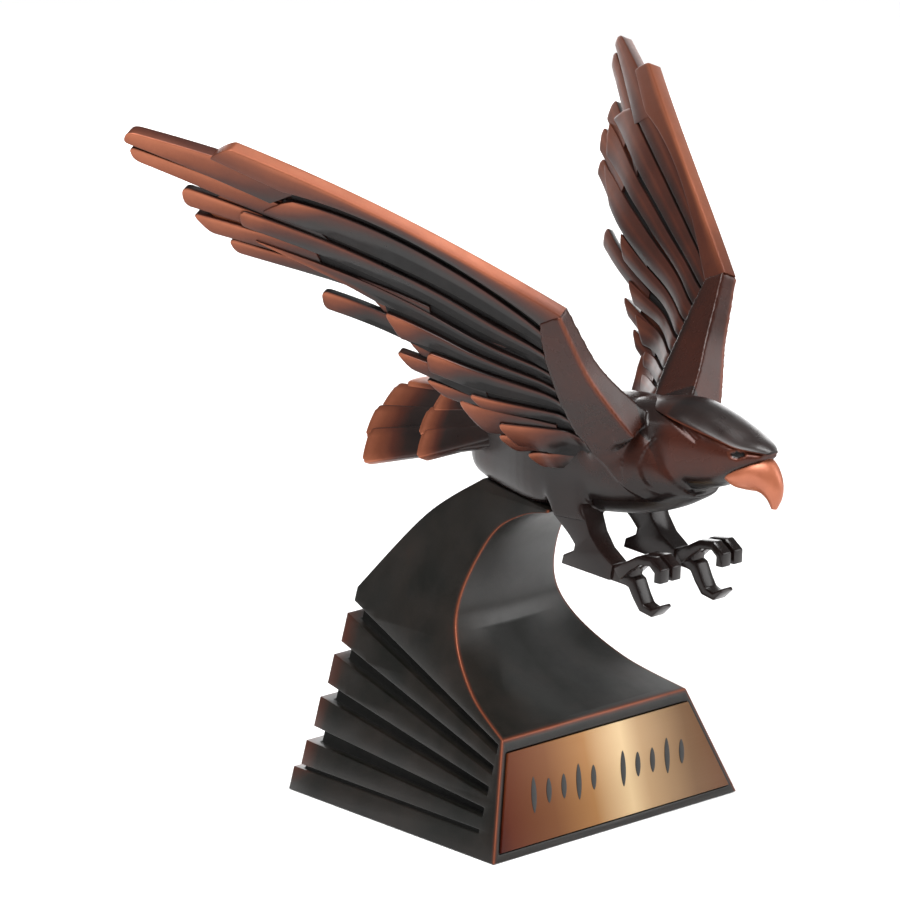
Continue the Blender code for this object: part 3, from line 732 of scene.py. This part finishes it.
def body_wear_and_shade(points, normals, eye, eye_edge):
    """Dark lacquer, redder on the head's sides and the arm, with rubbed rims, and painted shade on faces
    turned downwards.
    """
    x, y, z = points.T
    head = eased(-y, 72.0, 80.0) * eased(-z, -131.0, -125.0) * eased(z, 109.0, 114.0)
    arm = eased(z, 108.0, 126.0) * eased(-y, 50.0, 54.0) * (np.abs(x) > 14)
    wear_and_shade = 0.10 + 0.18 * head + 0.14 * arm
    wear_and_shade += 0.3 * rim(points, BROW_LINE, 1.2) * (y < -74)
    for side in (-1, 1):
        line = np.array([wing_point(side, *place, -0.3) for place in smooth_curve(ARM_FRONT, 5)])
        line[:, 1] -= BIRD_SHIFT
        away, _ = distance_to_line(points, line)
        wear_and_shade += 0.36 * np.exp(-(away / 0.9) ** 2) * eased(z, 118.0, 135.0)
    wear_and_shade += 0.15 * np.exp(-((eye_edge - 0.1) / 0.35) ** 2) * (y < -94)
    wear_and_shade[eye & (eye_edge > 0.45)] = 0.0
    # Painted shade: faces turned downwards are darkened.
    wear_and_shade *= 1 - 0.8 * eased(-normals[:, 2], 0.3, 0.8)
    return np.clip(wear_and_shade, 0.0, 1.0)


def make_cap():
    """The crown of the head, rubbed along its two front edges."""
    shell = Shell()
    count = 32
    rings = cap_rings(count)
    wear_and_shade = []
    for ring in rings:
        on_brow = ring[0][1] < -78
        values = []
        for i in range(len(ring)):
            rubbed = 0.5 * math.exp(-(min(i, abs(count - i)) / 1.2) ** 2) if on_brow else 0.1
            values.append(0.08 + (rubbed if i <= count else 0.3))
        wear_and_shade.append(values)
    shell.loft(rings, wear_and_shade)
    return shell.build("cap")


def make_beak():
    shell = Shell()
    rings = beak_rings(28)
    shell.loft(rings, plain(rings, 1.0))
    return shell.build("beak")


# The tail

TAIL_THICKNESS = 3.2
COVERT_THICKNESS = 4.6
TAIL_ROOT = (-14.0, 118.0)
# Feather tips from the middle outwards: x, y, z, turn in degrees, width
TAIL_ENDS = [(0.0, 28.0, 123.4, 0.0, 12.0), (8.6, 31.4, 119.6, 40.0, 11.5),
             (15.0, 32.6, 113.6, 56.0, 11.0), (19.4, 30.6, 107.6, 68.0, 11.0)]
COVERT_ENDS = [(0.0, 9.0, 125.4, 0.0, 11.0), (8.0, 11.5, 121.4, 40.0, 10.0),
               (13.2, 13.0, 115.8, 56.0, 9.5), (16.4, 11.5, 110.0, 68.0, 9.0)]


def tail_feather(shell, root, tip, turn, width, thickness):
    """A bar with rounded edges and a rounded end, copper at its end and along its edges, with a thin line
    of painted shade along one long edge.
    """
    rings = []
    wear_and_shade = []
    steps = 24
    across_dir = Vector((math.cos(turn), 0.0, -math.sin(turn)))
    up_dir = Vector((math.sin(turn), 0.0, math.cos(turn)))
    length = math.dist(root, tip)
    for i in range(steps + 1):
        t = math.sin(math.pi / 2 * i / steps)
        away = length * (1 - t)
        pinch = end_pinch(away, 1.4, 2.4, 0.75)
        wide = width * (0.62 + 0.38 * t) * pinch
        thick = thickness * (1 - 0.5 * (1 - pinch))
        middle = Vector(between(root, tip, t))
        ring = []
        values = []
        for across, up in strip_section(wide, thick, 0.6, (0.25, 0.5, 0.75), (0.25, 0.5, 0.75)):
            crown = 0.35 * (1 - (2 * across - 1) ** 2) * (1 if up < 0.5 else -1)
            point = middle + across_dir * wide * (across - 0.5) + up_dir * (thick * (0.5 - up) + crown)
            ring.append(placed(point))
            tip_share = float(eased(-away, -0.33 * length, -0.5))
            edge = math.exp(-((0.5 - abs(across - 0.5)) / 0.08) ** 2)
            # Painted shade: a thin dark line along one long edge.
            painted_step_shade = 0.8 * math.exp(-((1.0 - across) / 0.06) ** 2)
            copper = 0.10 + 0.74 * tip_share + 0.18 * edge * float(eased(t, 0.3, 0.9))
            values.append(min(1.0, copper * (1 - painted_step_shade)))
        rings.append(ring)
        wear_and_shade.append(values)
    shell.loft(rings, wear_and_shade)


def make_tail():
    shell = Shell()
    for ends, thickness in ((TAIL_ENDS, TAIL_THICKNESS), (COVERT_ENDS, COVERT_THICKNESS)):
        for side in (-1, 1):
            for index, (x, y, z, degrees, width) in enumerate(ends):
                if index == 0 and side < 0:
                    continue
                root = (side * x * 0.42, TAIL_ROOT[0], TAIL_ROOT[1] + (z - 113.0) * 0.55)
                tip = (side * x, y, z - 0.25 * index)
                tail_feather(shell, root, tip, math.radians(degrees) * side, width, thickness)
    return shell.build("tail")


# The legs and feet

LEG_X = 14.2
LEG_HALF = 3.4
THIGH_FLARE = 0.9
THIGH = [(-38.0, 110.0), (-37.6, 101.0), (-41.0, 96.2), (-53.0, 96.2), (-51.6, 99.0), (-50.6, 110.0)]
LEG_SIDE = [(-38.4, 101.0), (-41.2, 96.0), (-46.0, 91.4), (-48.2, 88.6), (-47.6, 86.6), (-43.6, 84.8),
            (-42.8, 82.0), (-61.2, 79.6), (-62.4, 84.4), (-57.6, 88.0), (-54.4, 92.4), (-52.0, 99.0),
            (-51.8, 101.0)]
ANKLE = [(-59.0, 84.2), (-59.0, 79.8), (-68.4, 78.6), (-69.4, 84.6)]
# Claws as rows of y, z and half thickness
UPPER_CLAW = [(-65.0, 82.4, 1.9), (-69.2, 85.4, 1.5), (-72.8, 87.5, 1.3), (-77.6, 87.7, 1.3),
              (-80.4, 85.3, 1.4), (-80.2, 81.8, 1.3)]
LOWER_HOOK = [(-65.0, 81.6, 2.0), (-69.0, 79.7, 1.7), (-70.7, 76.2, 1.4), (-72.7, 73.1, 1.3),
              (-76.4, 71.9, 1.1), (-79.4, 74.2, 0.6)]
CLAW_HALF = 2.0
CLAW_PITCH = 5.5
ANKLE_HALF = 2.6
LEG_WEAR = 0.09
CLAW_WEAR = 0.08


def flat_prism(shell, outline, near, far, value):
    """A side-view shape with thickness; near and far give where its two faces lie at a height."""
    rings = [[placed((side_x(z), y, z)) for y, z in outline] for side_x in (near, far)]
    shell.loft(rings, plain(rings, value))


def claw(shell, line, centre, half):
    rings = []
    for i, (y, z, thick) in enumerate(line):
        before = line[max(0, i - 1)]
        after = line[min(len(line) - 1, i + 1)]
        length = math.hypot(after[0] - before[0], after[1] - before[1])
        back = -(after[1] - before[1]) / length * thick
        up = (after[0] - before[0]) / length * thick
        corners = [(-half, 1), (half, 1), (half, -1), (-half, -1)]
        rings.append([placed((centre + across, y + end * back, z + end * up)) for across, end in corners])
    shell.loft(rings, plain(rings, CLAW_WEAR))


def leg_half(z):
    """Half the leg's thickness at a height; it widens towards the thigh."""
    return LEG_HALF + THIGH_FLARE * min(1.0, max(0.0, (z - 84.0) / 12.0))


def make_legs():
    shell = Shell()
    for side in (-1, 1):
        middle = side * LEG_X
        flat_prism(shell, LEG_SIDE, lambda z: side * (LEG_X + leg_half(z)),
                   lambda z: side * (LEG_X - leg_half(z)), LEG_WEAR)
        flat_prism(shell, ANKLE, lambda z: middle - ANKLE_HALF, lambda z: middle + ANKLE_HALF, LEG_WEAR)
        for offset in (-0.5, 0.5):
            claw(shell, UPPER_CLAW, middle + offset * CLAW_PITCH, CLAW_HALF)
        claw(shell, LOWER_HOOK, middle, CLAW_HALF + 0.8)
    item = shell.build("legs")
    add_bevel(item, 0.35, 2, 25)
    return item


# The plinth

def front_edge():
    return -BASE_DEPTH / 2


def half_width(y, z):
    closing = (BASE_FRONT_WIDTH - BASE_REAR_WIDTH) / 2 / BASE_DEPTH
    return BASE_FRONT_WIDTH / 2 - closing * (y - front_edge()) - SIDE_LEAN * z


def fan_line(index, up, y):
    """A slot's height at a place along the side; up is 0 for its lower edge and 1 for its upper edge."""
    reach = (y - front_edge() - BORDER) / (FIN_REACH - BORDER)
    front = FIN_TOP_FRONT - FIN_STEP_FRONT * index + SLOT_FRONT * up
    rear = FIN_TOP_REAR - FIN_STEP_REAR * index + SLOT_REAR * up
    return front + (rear - front) * reach


def fin_end(index):
    return front_edge() + FIN_REACH + FIN_STEP_OUT * index


def rear_steps():
    """The plinth's back in the side view: each fin ends a little further out than the one above."""
    steps = []
    for index in range(FIN_COUNT):
        for end in (fin_end(index - 1), fin_end(index)):
            steps.append((end, fan_line(index, 0.5, end)))
    slab = front_edge() + BASE_DEPTH
    ledge = SLAB_HEIGHT + LEDGE_SLOT / 2
    return [*steps, (fin_end(FIN_COUNT - 1), ledge), (slab, ledge), (slab, 0.0)]


def front_hollow(steps):
    """The column's front, from the top of the plate's face in to the waist and out to the seat."""
    low = WAIST_HEIGHT - FACE_HEIGHT
    high = SEAT_FRONT_HEIGHT - WAIST_HEIGHT
    places = [
        (FACE_LEAN, FACE_HEIGHT),
        (0.62 * WAIST, FACE_HEIGHT + 0.25 * low),
        (0.93 * WAIST, FACE_HEIGHT + 0.62 * low),
        (WAIST, WAIST_HEIGHT),
        (0.81 * WAIST, WAIST_HEIGHT + 0.62 * high),
        (0.53 * WAIST, WAIST_HEIGHT + 0.88 * high),
        (SEAT_FRONT, SEAT_FRONT_HEIGHT - EDGE_ROUND),
    ]
    return smooth_curve([(front_edge() + back, height) for back, height in places], steps)


def column_back(steps):
    """The column's hollow back, from the seat's rear edge down to the top fin."""
    seat_y, seat_z = front_edge() + SEAT_REAR, SEAT_REAR_HEIGHT
    fin_y, fin_z = front_edge() + FIN_REACH - FIN_STEP_OUT, FIN_TOP_REAR + SLOT_REAR + 3.4
    middle = (seat_y + 0.48 * (fin_y - seat_y), fin_z + 0.64 * (seat_z - fin_z))
    return smooth_curve([(seat_y, seat_z), middle, (fin_y, fin_z)], steps)


def slot_rings(low_line, high_line, start, floor_y, depth):
    """The cutter for a slot between two lines, a depth into both sides and in to floor_y behind."""
    past = front_edge() + BASE_DEPTH + 2 * NOTCH_DEPTH
    proud = 2 * SLOT_DEPTH
    places = [(-1, start, proud), (-1, past, 2 * proud), (1, past, 2 * proud), (1, start, proud),
              (1, start, -depth), (1, floor_y, -depth), (-1, floor_y, -depth), (-1, start, -depth)]
    return [[(side * (half_width(y, line(y)) + out), y, line(y)) for side, y, out in places]
            for line in (low_line, high_line)]


def face_point(along, up, out):
    slope = math.hypot(FACE_LEAN, FACE_HEIGHT)
    lean_y = FACE_LEAN / slope
    lean_z = FACE_HEIGHT / slope
    return (along, front_edge() + lean_y * up - lean_z * out, lean_z * up + lean_y * out)


def plate_corners(out, grow):
    """The plate's corners on the sloping face, at a height out from it and grown by a margin."""
    foot = PLATE_FOOT - grow
    head = PLATE_FOOT + PLATE_HEIGHT + grow
    slope = math.hypot(FACE_LEAN, FACE_HEIGHT)
    narrowing = (half_width(front_edge(), 0.0)
                 - half_width(front_edge() + FACE_LEAN, FACE_HEIGHT)) / slope
    wide = PLATE_WIDTH / 2 + grow
    narrow = wide - narrowing * (head - foot)
    return [face_point(-wide, foot, out), face_point(wide, foot, out),
            face_point(narrow, head, out), face_point(-narrow, head, out)]


def front_outline():
    """The plinth's front in the side view, from its foot up the face and the hollow to the seat."""
    return [(front_edge(), 0.0), *front_hollow(10), (front_edge() + SEAT_FRONT, SEAT_FRONT_HEIGHT)]


def slice_mesh(item, planes):
    """Cuts the faces along planes without changing the shape, so that wear and painted shade can change
    across them.
    """
    shape = bmesh.new()
    shape.from_mesh(item.data)
    for place, normal in planes:
        bmesh.ops.bisect_plane(shape, geom=[*shape.verts, *shape.edges, *shape.faces], dist=1e-7,
                               plane_co=Vector(place) * MM, plane_no=normal)
    bmesh.ops.triangulate(shape, faces=shape.faces)
    shape.to_mesh(item.data)
    shape.free()


def make_plinth():
    front = front_edge()
    outline = [*front_outline(), *column_back(10), *rear_steps()]
    rings = [[(side * half_width(y, z), y, z) for y, z in outline] for side in (-1, 1)]
    item = solid("plinth_body", rings)
    start = front + BORDER
    for index in range(FIN_COUNT):
        cut(item, slot_rings(lambda y: fan_line(index, 0.0, y), lambda y: fan_line(index, 1.0, y),
                             start, fin_end(index) - NOTCH_DEPTH, SLOT_DEPTH))
    cut(item, slot_rings(lambda y: SLAB_HEIGHT, lambda y: SLAB_HEIGHT + LEDGE_SLOT,
                         start, fin_end(FIN_COUNT - 1) - LEDGE_SLOT, LEDGE_SLOT))
    cut(item, [plate_corners(-PLATE_RECESS, GAP), plate_corners(2 * PLATE_THICKNESS, GAP)])
    add_bevel(item, 0.55, 3, 30)
    planes = [((0, 0, z), (0, 0, 1)) for _, z in front_outline()[1:]]
    planes += [((0, 0, z), (0, 0, 1)) for z in (8, 16, 24, 29, 31, 35, 37)]
    planes += [((0, fin_end(0) - back, 0), (0, 1, 0)) for back in (1.5, 4, 8, 14)]
    planes += [((0, 0, 0), (1, 0, 0))]
    slice_mesh(item, planes)
    for name, values in zip(("edge", "crest", "wear_and_shade"), plinth_wear_and_shade(read_points(item.data))):
        write_layer(item.data, name, values)
    return item


def plinth_wear_and_shade(points):
    """Distance from the column's front edges, distance from the top of the face, rubbed fin ends, and
    painted shade that blackens the slots in the sides.
    """
    x, y, z = points.T
    outline = np.array(front_outline())
    front = np.interp(z, outline[:, 1], outline[:, 0])
    side = half_width(y, z) - np.abs(x)
    steps = np.hypot(*np.diff(outline, axis=0).T)
    arc = np.concatenate([[0.0], np.cumsum(steps)])
    climb = np.abs(np.interp(z, outline[:, 1], arc) - arc[1])
    behind = np.maximum(y - front, 0.0)
    edge = np.maximum(side, 0.0) + behind
    crest = climb + behind
    rear = np.zeros(len(points))
    for index in range(FIN_COUNT):
        end = fin_end(index)
        top = fan_line(index, 0.0, end)
        low = fan_line(index + 1, 1.0, end) if index + 1 < FIN_COUNT else SLAB_HEIGHT
        on_fin = (z < top + 1.2) & (z > low - 1.2)
        rear = np.maximum(rear, on_fin * np.exp(-(np.maximum(end - y, 0.0) / 4.5) ** 2))
    sunk = side > 0.9
    wear_and_shade = 0.05 + 0.30 * rear * ~sunk
    # Painted shade: the floors of the slots in the sides are made black.
    wear_and_shade[sunk & (y > front_edge() + BORDER) & (z < 56)] = 0.0
    return edge, crest, wear_and_shade


# The plate and its row of strokes

def make_plate():
    floor = GAP - PLATE_RECESS
    rings = [plate_corners(floor, 0.0), plate_corners(floor + PLATE_THICKNESS, 0.0)]
    item = solid("plate", rings)
    add_bevel(item, 0.18, 2, 30)
    return item


def make_strokes():
    """A row of slanted lens shapes, no letters, where the plate is printed."""
    shell = Shell()
    top = GAP - PLATE_RECESS + PLATE_THICKNESS
    count = 11
    for index in range(count):
        if index == 5:
            continue
        centre = -34.0 + 68.0 * index / (count - 1)
        tall = 5.2 if index % 3 == 0 else 3.6
        rings = []
        for lift, shrink in ((-0.1, 1.0), (0.10, 1.0), (0.16, 0.82)):
            ring = []
            for i in range(24):
                angle = 2 * math.pi * i / 24
                across = 1.15 * shrink * math.copysign(abs(math.cos(angle)) ** 1.4, math.cos(angle))
                up = tall * shrink * math.sin(angle)
                ring.append(face_point(centre + across + 0.22 * up, 16.4 + up, top + lift))
            rings.append(ring)
        shell.loft(rings, plain(rings))
    return shell.build("plate_strokes")


# Materials

def new_material(name):
    made = bpy.data.materials.new(name)
    made.use_nodes = True
    tree = made.node_tree
    return made, tree, tree.nodes["Principled BSDF"]


def feed(node, name, value):
    """Sets a node's input to a value, or links it to another node's output."""
    if isinstance(value, bpy.types.NodeSocket):
        node.id_data.links.new(value, node.inputs[name])
    else:
        node.inputs[name].default_value = value


def add_node(tree, kind, **values):
    made = tree.nodes.new(kind)
    for name, value in values.items():
        if name in made.inputs:
            feed(made, name, value)
        else:
            setattr(made, name, value)
    return made


def noise_node(tree, coordinates, scale, detail=4.0, roughness=0.55):
    made = add_node(tree, "ShaderNodeTexNoise", Vector=coordinates, Scale=scale, Detail=detail,
                    Roughness=roughness)
    return made.outputs["Fac"]


def math_node(tree, operation, first, second):
    made = add_node(tree, "ShaderNodeMath", operation=operation)
    feed(made, 0, first)
    feed(made, 1, second)
    return made.outputs[0]


def spread(tree, value, low, high, new_low, new_high):
    made = add_node(tree, "ShaderNodeMapRange")
    names = ("Value", "From Min", "From Max", "To Min", "To Max")
    for name, given in zip(names, (value, low, high, new_low, new_high)):
        feed(made, name, given)
    return made.outputs["Result"]


def colour_ramp(tree, value, stops):
    made = add_node(tree, "ShaderNodeValToRGB")
    ramp = made.color_ramp
    ramp.elements[0].position = stops[0][0]
    ramp.elements[0].color = (*stops[0][1], 1.0)
    ramp.elements[1].position = stops[-1][0]
    ramp.elements[1].color = (*stops[-1][1], 1.0)
    for position, colour in stops[1:-1]:
        element = ramp.elements.new(position)
        element.color = (*colour, 1.0)
    feed(made, "Fac", value)
    return made.outputs["Color"]


def fine_bump(tree, shader, value, strength, distance):
    bump = add_node(tree, "ShaderNodeBump", Strength=strength, Distance=distance, Height=value)
    feed(shader, "Normal", bump.outputs["Normal"])


def object_place(tree):
    return add_node(tree, "ShaderNodeTexCoord").outputs["Object"]


def mesh_value(tree, layer):
    return add_node(tree, "ShaderNodeAttribute", attribute_name=layer).outputs["Fac"]


BRONZE_STOPS = [
    (0.00, (0.003, 0.002, 0.002)),
    (0.12, (0.012, 0.006, 0.005)),
    (0.35, (0.055, 0.014, 0.008)),
    (0.65, (0.160, 0.046, 0.023)),
    (1.00, (0.340, 0.108, 0.054)),
]
RESIN_STOPS = [
    (0.00, (0.003, 0.003, 0.002)),
    (0.10, (0.012, 0.009, 0.007)),
    (0.35, (0.060, 0.017, 0.009)),
    (1.00, (0.400, 0.110, 0.050)),
]


def rubbed_edge(tree, layer, strength, width):
    """Wear that fades over a width from an edge; the layer holds the distance from it in millimetres."""
    near = spread(tree, mesh_value(tree, layer), 0.0, width, 1.0, 0.0)
    return math_node(tree, "MULTIPLY", math_node(tree, "POWER", near, 2.2), strength)


def lacquer(name, stops, rough, copper_rough, edges=(), shine=0.35):
    """Dark lacquer over copper, rubbed through where the mesh's wear says so, and darker where painted
    shade lowers that value.
    """
    made, tree, shader = new_material(name)
    place = object_place(tree)
    wear_and_shade = mesh_value(tree, "wear_and_shade")
    for layer, strength, width in edges:
        wear_and_shade = math_node(tree, "MAXIMUM", wear_and_shade, rubbed_edge(tree, layer, strength, width))
    broad = noise_node(tree, place, 55.0, 3.0)
    grain = noise_node(tree, place, 900.0, 3.0)
    cloudy = spread(tree, broad, 0.3, 0.7, -0.06, 0.06)
    speckled = spread(tree, grain, 0.3, 0.7, -0.015, 0.015)
    mixed = math_node(tree, "ADD", math_node(tree, "ADD", wear_and_shade, cloudy), speckled)
    feed(shader, "Base Color", colour_ramp(tree, mixed, stops))
    feed(shader, "Metallic", spread(tree, mixed, 0.1, 0.7, 0.0, 0.55))
    smudge = noise_node(tree, place, 140.0, 4.0)
    polished = spread(tree, mixed, 0.08, 0.8, rough, copper_rough)
    base = math_node(tree, "ADD", polished, spread(tree, wear_and_shade, 0.0, 0.04, 0.4, 0.0))
    rough_all = math_node(tree, "ADD", base, spread(tree, smudge, 0.3, 0.7, -0.04, 0.05))
    feed(shader, "Roughness", rough_all)
    feed(shader, "Specular IOR Level", shine)
    fine_bump(tree, shader, noise_node(tree, place, 1500.0, 2.0), 0.12, 0.00008)
    return made


def copper_paint(name):
    made, tree, shader = new_material(name)
    place = object_place(tree)
    broad = noise_node(tree, place, 160.0, 4.0)
    stops = [(0.25, (0.34, 0.100, 0.048)), (0.75, (0.44, 0.140, 0.070))]
    feed(shader, "Base Color", colour_ramp(tree, broad, stops))
    feed(shader, "Metallic", 0.35)
    feed(shader, "Roughness", spread(tree, broad, 0.3, 0.7, 0.30, 0.42))
    fine_bump(tree, shader, noise_node(tree, place, 1400.0, 2.0), 0.15, 0.00008)
    return made


# Painted reflection: a bright cream band between darker browns, running across the plate.
PLATE_REFLECTION_STOPS = [
    (0.00, (0.040, 0.004, 0.002)),
    (0.06, (0.080, 0.016, 0.005)),
    (0.25, (0.130, 0.045, 0.013)),
    (0.42, (0.260, 0.120, 0.036)),
    (0.58, (0.560, 0.400, 0.220)),
    (0.66, (0.380, 0.240, 0.120)),
    (0.86, (0.150, 0.075, 0.030)),
    (1.00, (0.110, 0.034, 0.005)),
]


def plate_metal():
    """Polished metal with a painted reflection running from dark to cream to brown across the plate,
    finely brushed.
    """
    made, tree, shader = new_material("polished_plate_look")
    place = object_place(tree)
    parts = add_node(tree, "ShaderNodeSeparateXYZ", Vector=place)
    half = PLATE_WIDTH / 2 * MM
    across = spread(tree, parts.outputs["X"], -half, half, 0.0, 1.0)
    feed(shader, "Base Color", colour_ramp(tree, across, PLATE_REFLECTION_STOPS))
    feed(shader, "Metallic", 0.25)
    feed(shader, "Specular IOR Level", 0.25)
    stretch = add_node(tree, "ShaderNodeMapping", Vector=place, Scale=(60.0, 3000.0, 3000.0))
    brushed = noise_node(tree, stretch.outputs["Vector"], 1.0, 2.0)
    feed(shader, "Roughness", spread(tree, brushed, 0.3, 0.7, 0.34, 0.42))
    fine_bump(tree, shader, brushed, 0.02, 0.00002)
    return made


def black_print():
    made, tree, shader = new_material("black_print")
    place = object_place(tree)
    grain = noise_node(tree, place, 1200.0, 3.0)
    stops = [(0.3, (0.004, 0.004, 0.004)), (0.7, (0.010, 0.009, 0.008))]
    feed(shader, "Base Color", colour_ramp(tree, grain, stops))
    feed(shader, "Roughness", spread(tree, grain, 0.3, 0.7, 0.40, 0.55))
    return made


# The object

def dress_object():
    bronze = lacquer("antique_bronze_look", BRONZE_STOPS, 0.30, 0.42)
    rubbed = [("edge", 0.75, 2.2), ("crest", 0.7, 2.2)]
    resin = lacquer("dark_resin_look", RESIN_STOPS, 0.34, 0.42, rubbed)
    gloss = lacquer("glossy_bronze_look", BRONZE_STOPS, 0.22, 0.38, shine=0.28)
    copper = copper_paint("copper_beak_look")
    bird = [(make_wing(-1), bronze, 40), (make_wing(1), bronze, 40), (make_body(), gloss, 60),
            (make_cap(), bronze, 50), (make_beak(), copper, 60), (make_tail(), bronze, 40),
            (make_legs(), gloss, 40)]
    for item, skin, angle in bird:
        finish_piece(item, skin, angle)
        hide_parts("eagle")
    plinth = finish_piece(make_plinth(), resin, 40)
    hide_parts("plinth")
    plate = finish_piece(make_plate(), plate_metal(), 30)
    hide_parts("name_plate")
    finish_piece(make_strokes(), black_print(), 40)


# The stage

def make_floor():
    mesh = bpy.data.meshes.new("floor")
    size = 6.0
    corners = [(-size, -size, 0), (size, -size, 0), (size, size, 0), (-size, size, 0)]
    mesh.from_pydata(corners, [], [(0, 1, 2, 3)])
    floor = add_object("floor", mesh)
    made, _, shader = new_material("floor_paper")
    feed(shader, "Base Color", (0.93, 0.93, 0.93, 1.0))
    feed(shader, "Roughness", 0.9)
    mesh.materials.append(made)
    floor.location.z = -0.0002


def area_light(name, location, target, size, power):
    light = bpy.data.lights.new(name, "AREA")
    light.shape = "RECTANGLE"
    light.size, light.size_y = size
    light.energy = power
    item = add_object(name, light)
    item.location = location
    item.rotation_euler = (Vector(target) - Vector(location)).to_track_quat("-Z", "Y").to_euler()


def light_scene():
    area_light("key", (-0.75, -0.25, 1.15), (0.0, 0.0, 0.10), (0.7, 0.7), 16.0)
    area_light("fill", (0.95, -0.85, 0.55), (0.0, 0.0, 0.10), (0.7, 0.7), 6.0)
    area_light("edge_panel", (0.62, -0.20, 1.12), (-0.03, 0.0, 0.18), (0.22, 0.22), 4.0)
    area_light("back_panel", (0.95, 0.85, 0.30), (0.0, 0.0, 0.08), (1.2, 0.5), 6.0)
    sun = bpy.data.lights.new("sky_panel", "SUN")
    sun.energy = 2.5
    sun.angle = math.radians(35)
    panel = add_object("sky_panel", sun)
    panel.rotation_euler = (math.radians(18), math.radians(-12), 0.0)


def white_world():
    """A dim white room for the light, seen as bright white by the camera."""
    world = bpy.data.worlds.new("studio")
    bpy.context.scene.world = world
    world.use_nodes = True
    tree = world.node_tree
    white = (1.0, 1.0, 1.0, 1.0)
    dim = tree.nodes["Background"]
    feed(dim, "Color", white)
    feed(dim, "Strength", 0.22)
    paper = add_node(tree, "ShaderNodeBackground", Color=white, Strength=1.0)
    seen = add_node(tree, "ShaderNodeLightPath")
    mix = add_node(tree, "ShaderNodeMixShader")
    for index, end in enumerate((seen.outputs["Is Camera Ray"], dim.outputs[0], paper.outputs[0])):
        feed(mix, index, end)
    feed(tree.nodes["World Output"], "Surface", mix.outputs[0])
    bpy.context.scene.view_settings.view_transform = "Standard"


def place_camera():
    turn = CAMERA_TURN
    rise = CAMERA_RISE
    back = Vector((math.sin(turn) * math.cos(rise), -math.cos(turn) * math.cos(rise), math.sin(rise)))
    right = Vector((math.cos(turn), math.sin(turn), 0.0))
    up = back.cross(right)
    spot = right * CAMERA_ACROSS + up * CAMERA_UP + back * CAMERA_DISTANCE
    spot += Vector((0.0, BIRD_SHIFT, 0.0))
    lens = bpy.data.cameras.new("camera")
    lens.sensor_width = 36.0
    lens.lens = CAMERA_LENS
    lens.clip_start = 0.05
    lens.clip_end = 60.0
    camera = add_object("camera", lens)
    turned = Matrix((right, up, back)).transposed().to_4x4()
    turned.translation = spot * MM
    camera.matrix_world = turned
    bpy.context.scene.camera = camera


dress_object()
make_floor()
light_scene()
white_world()
place_camera()
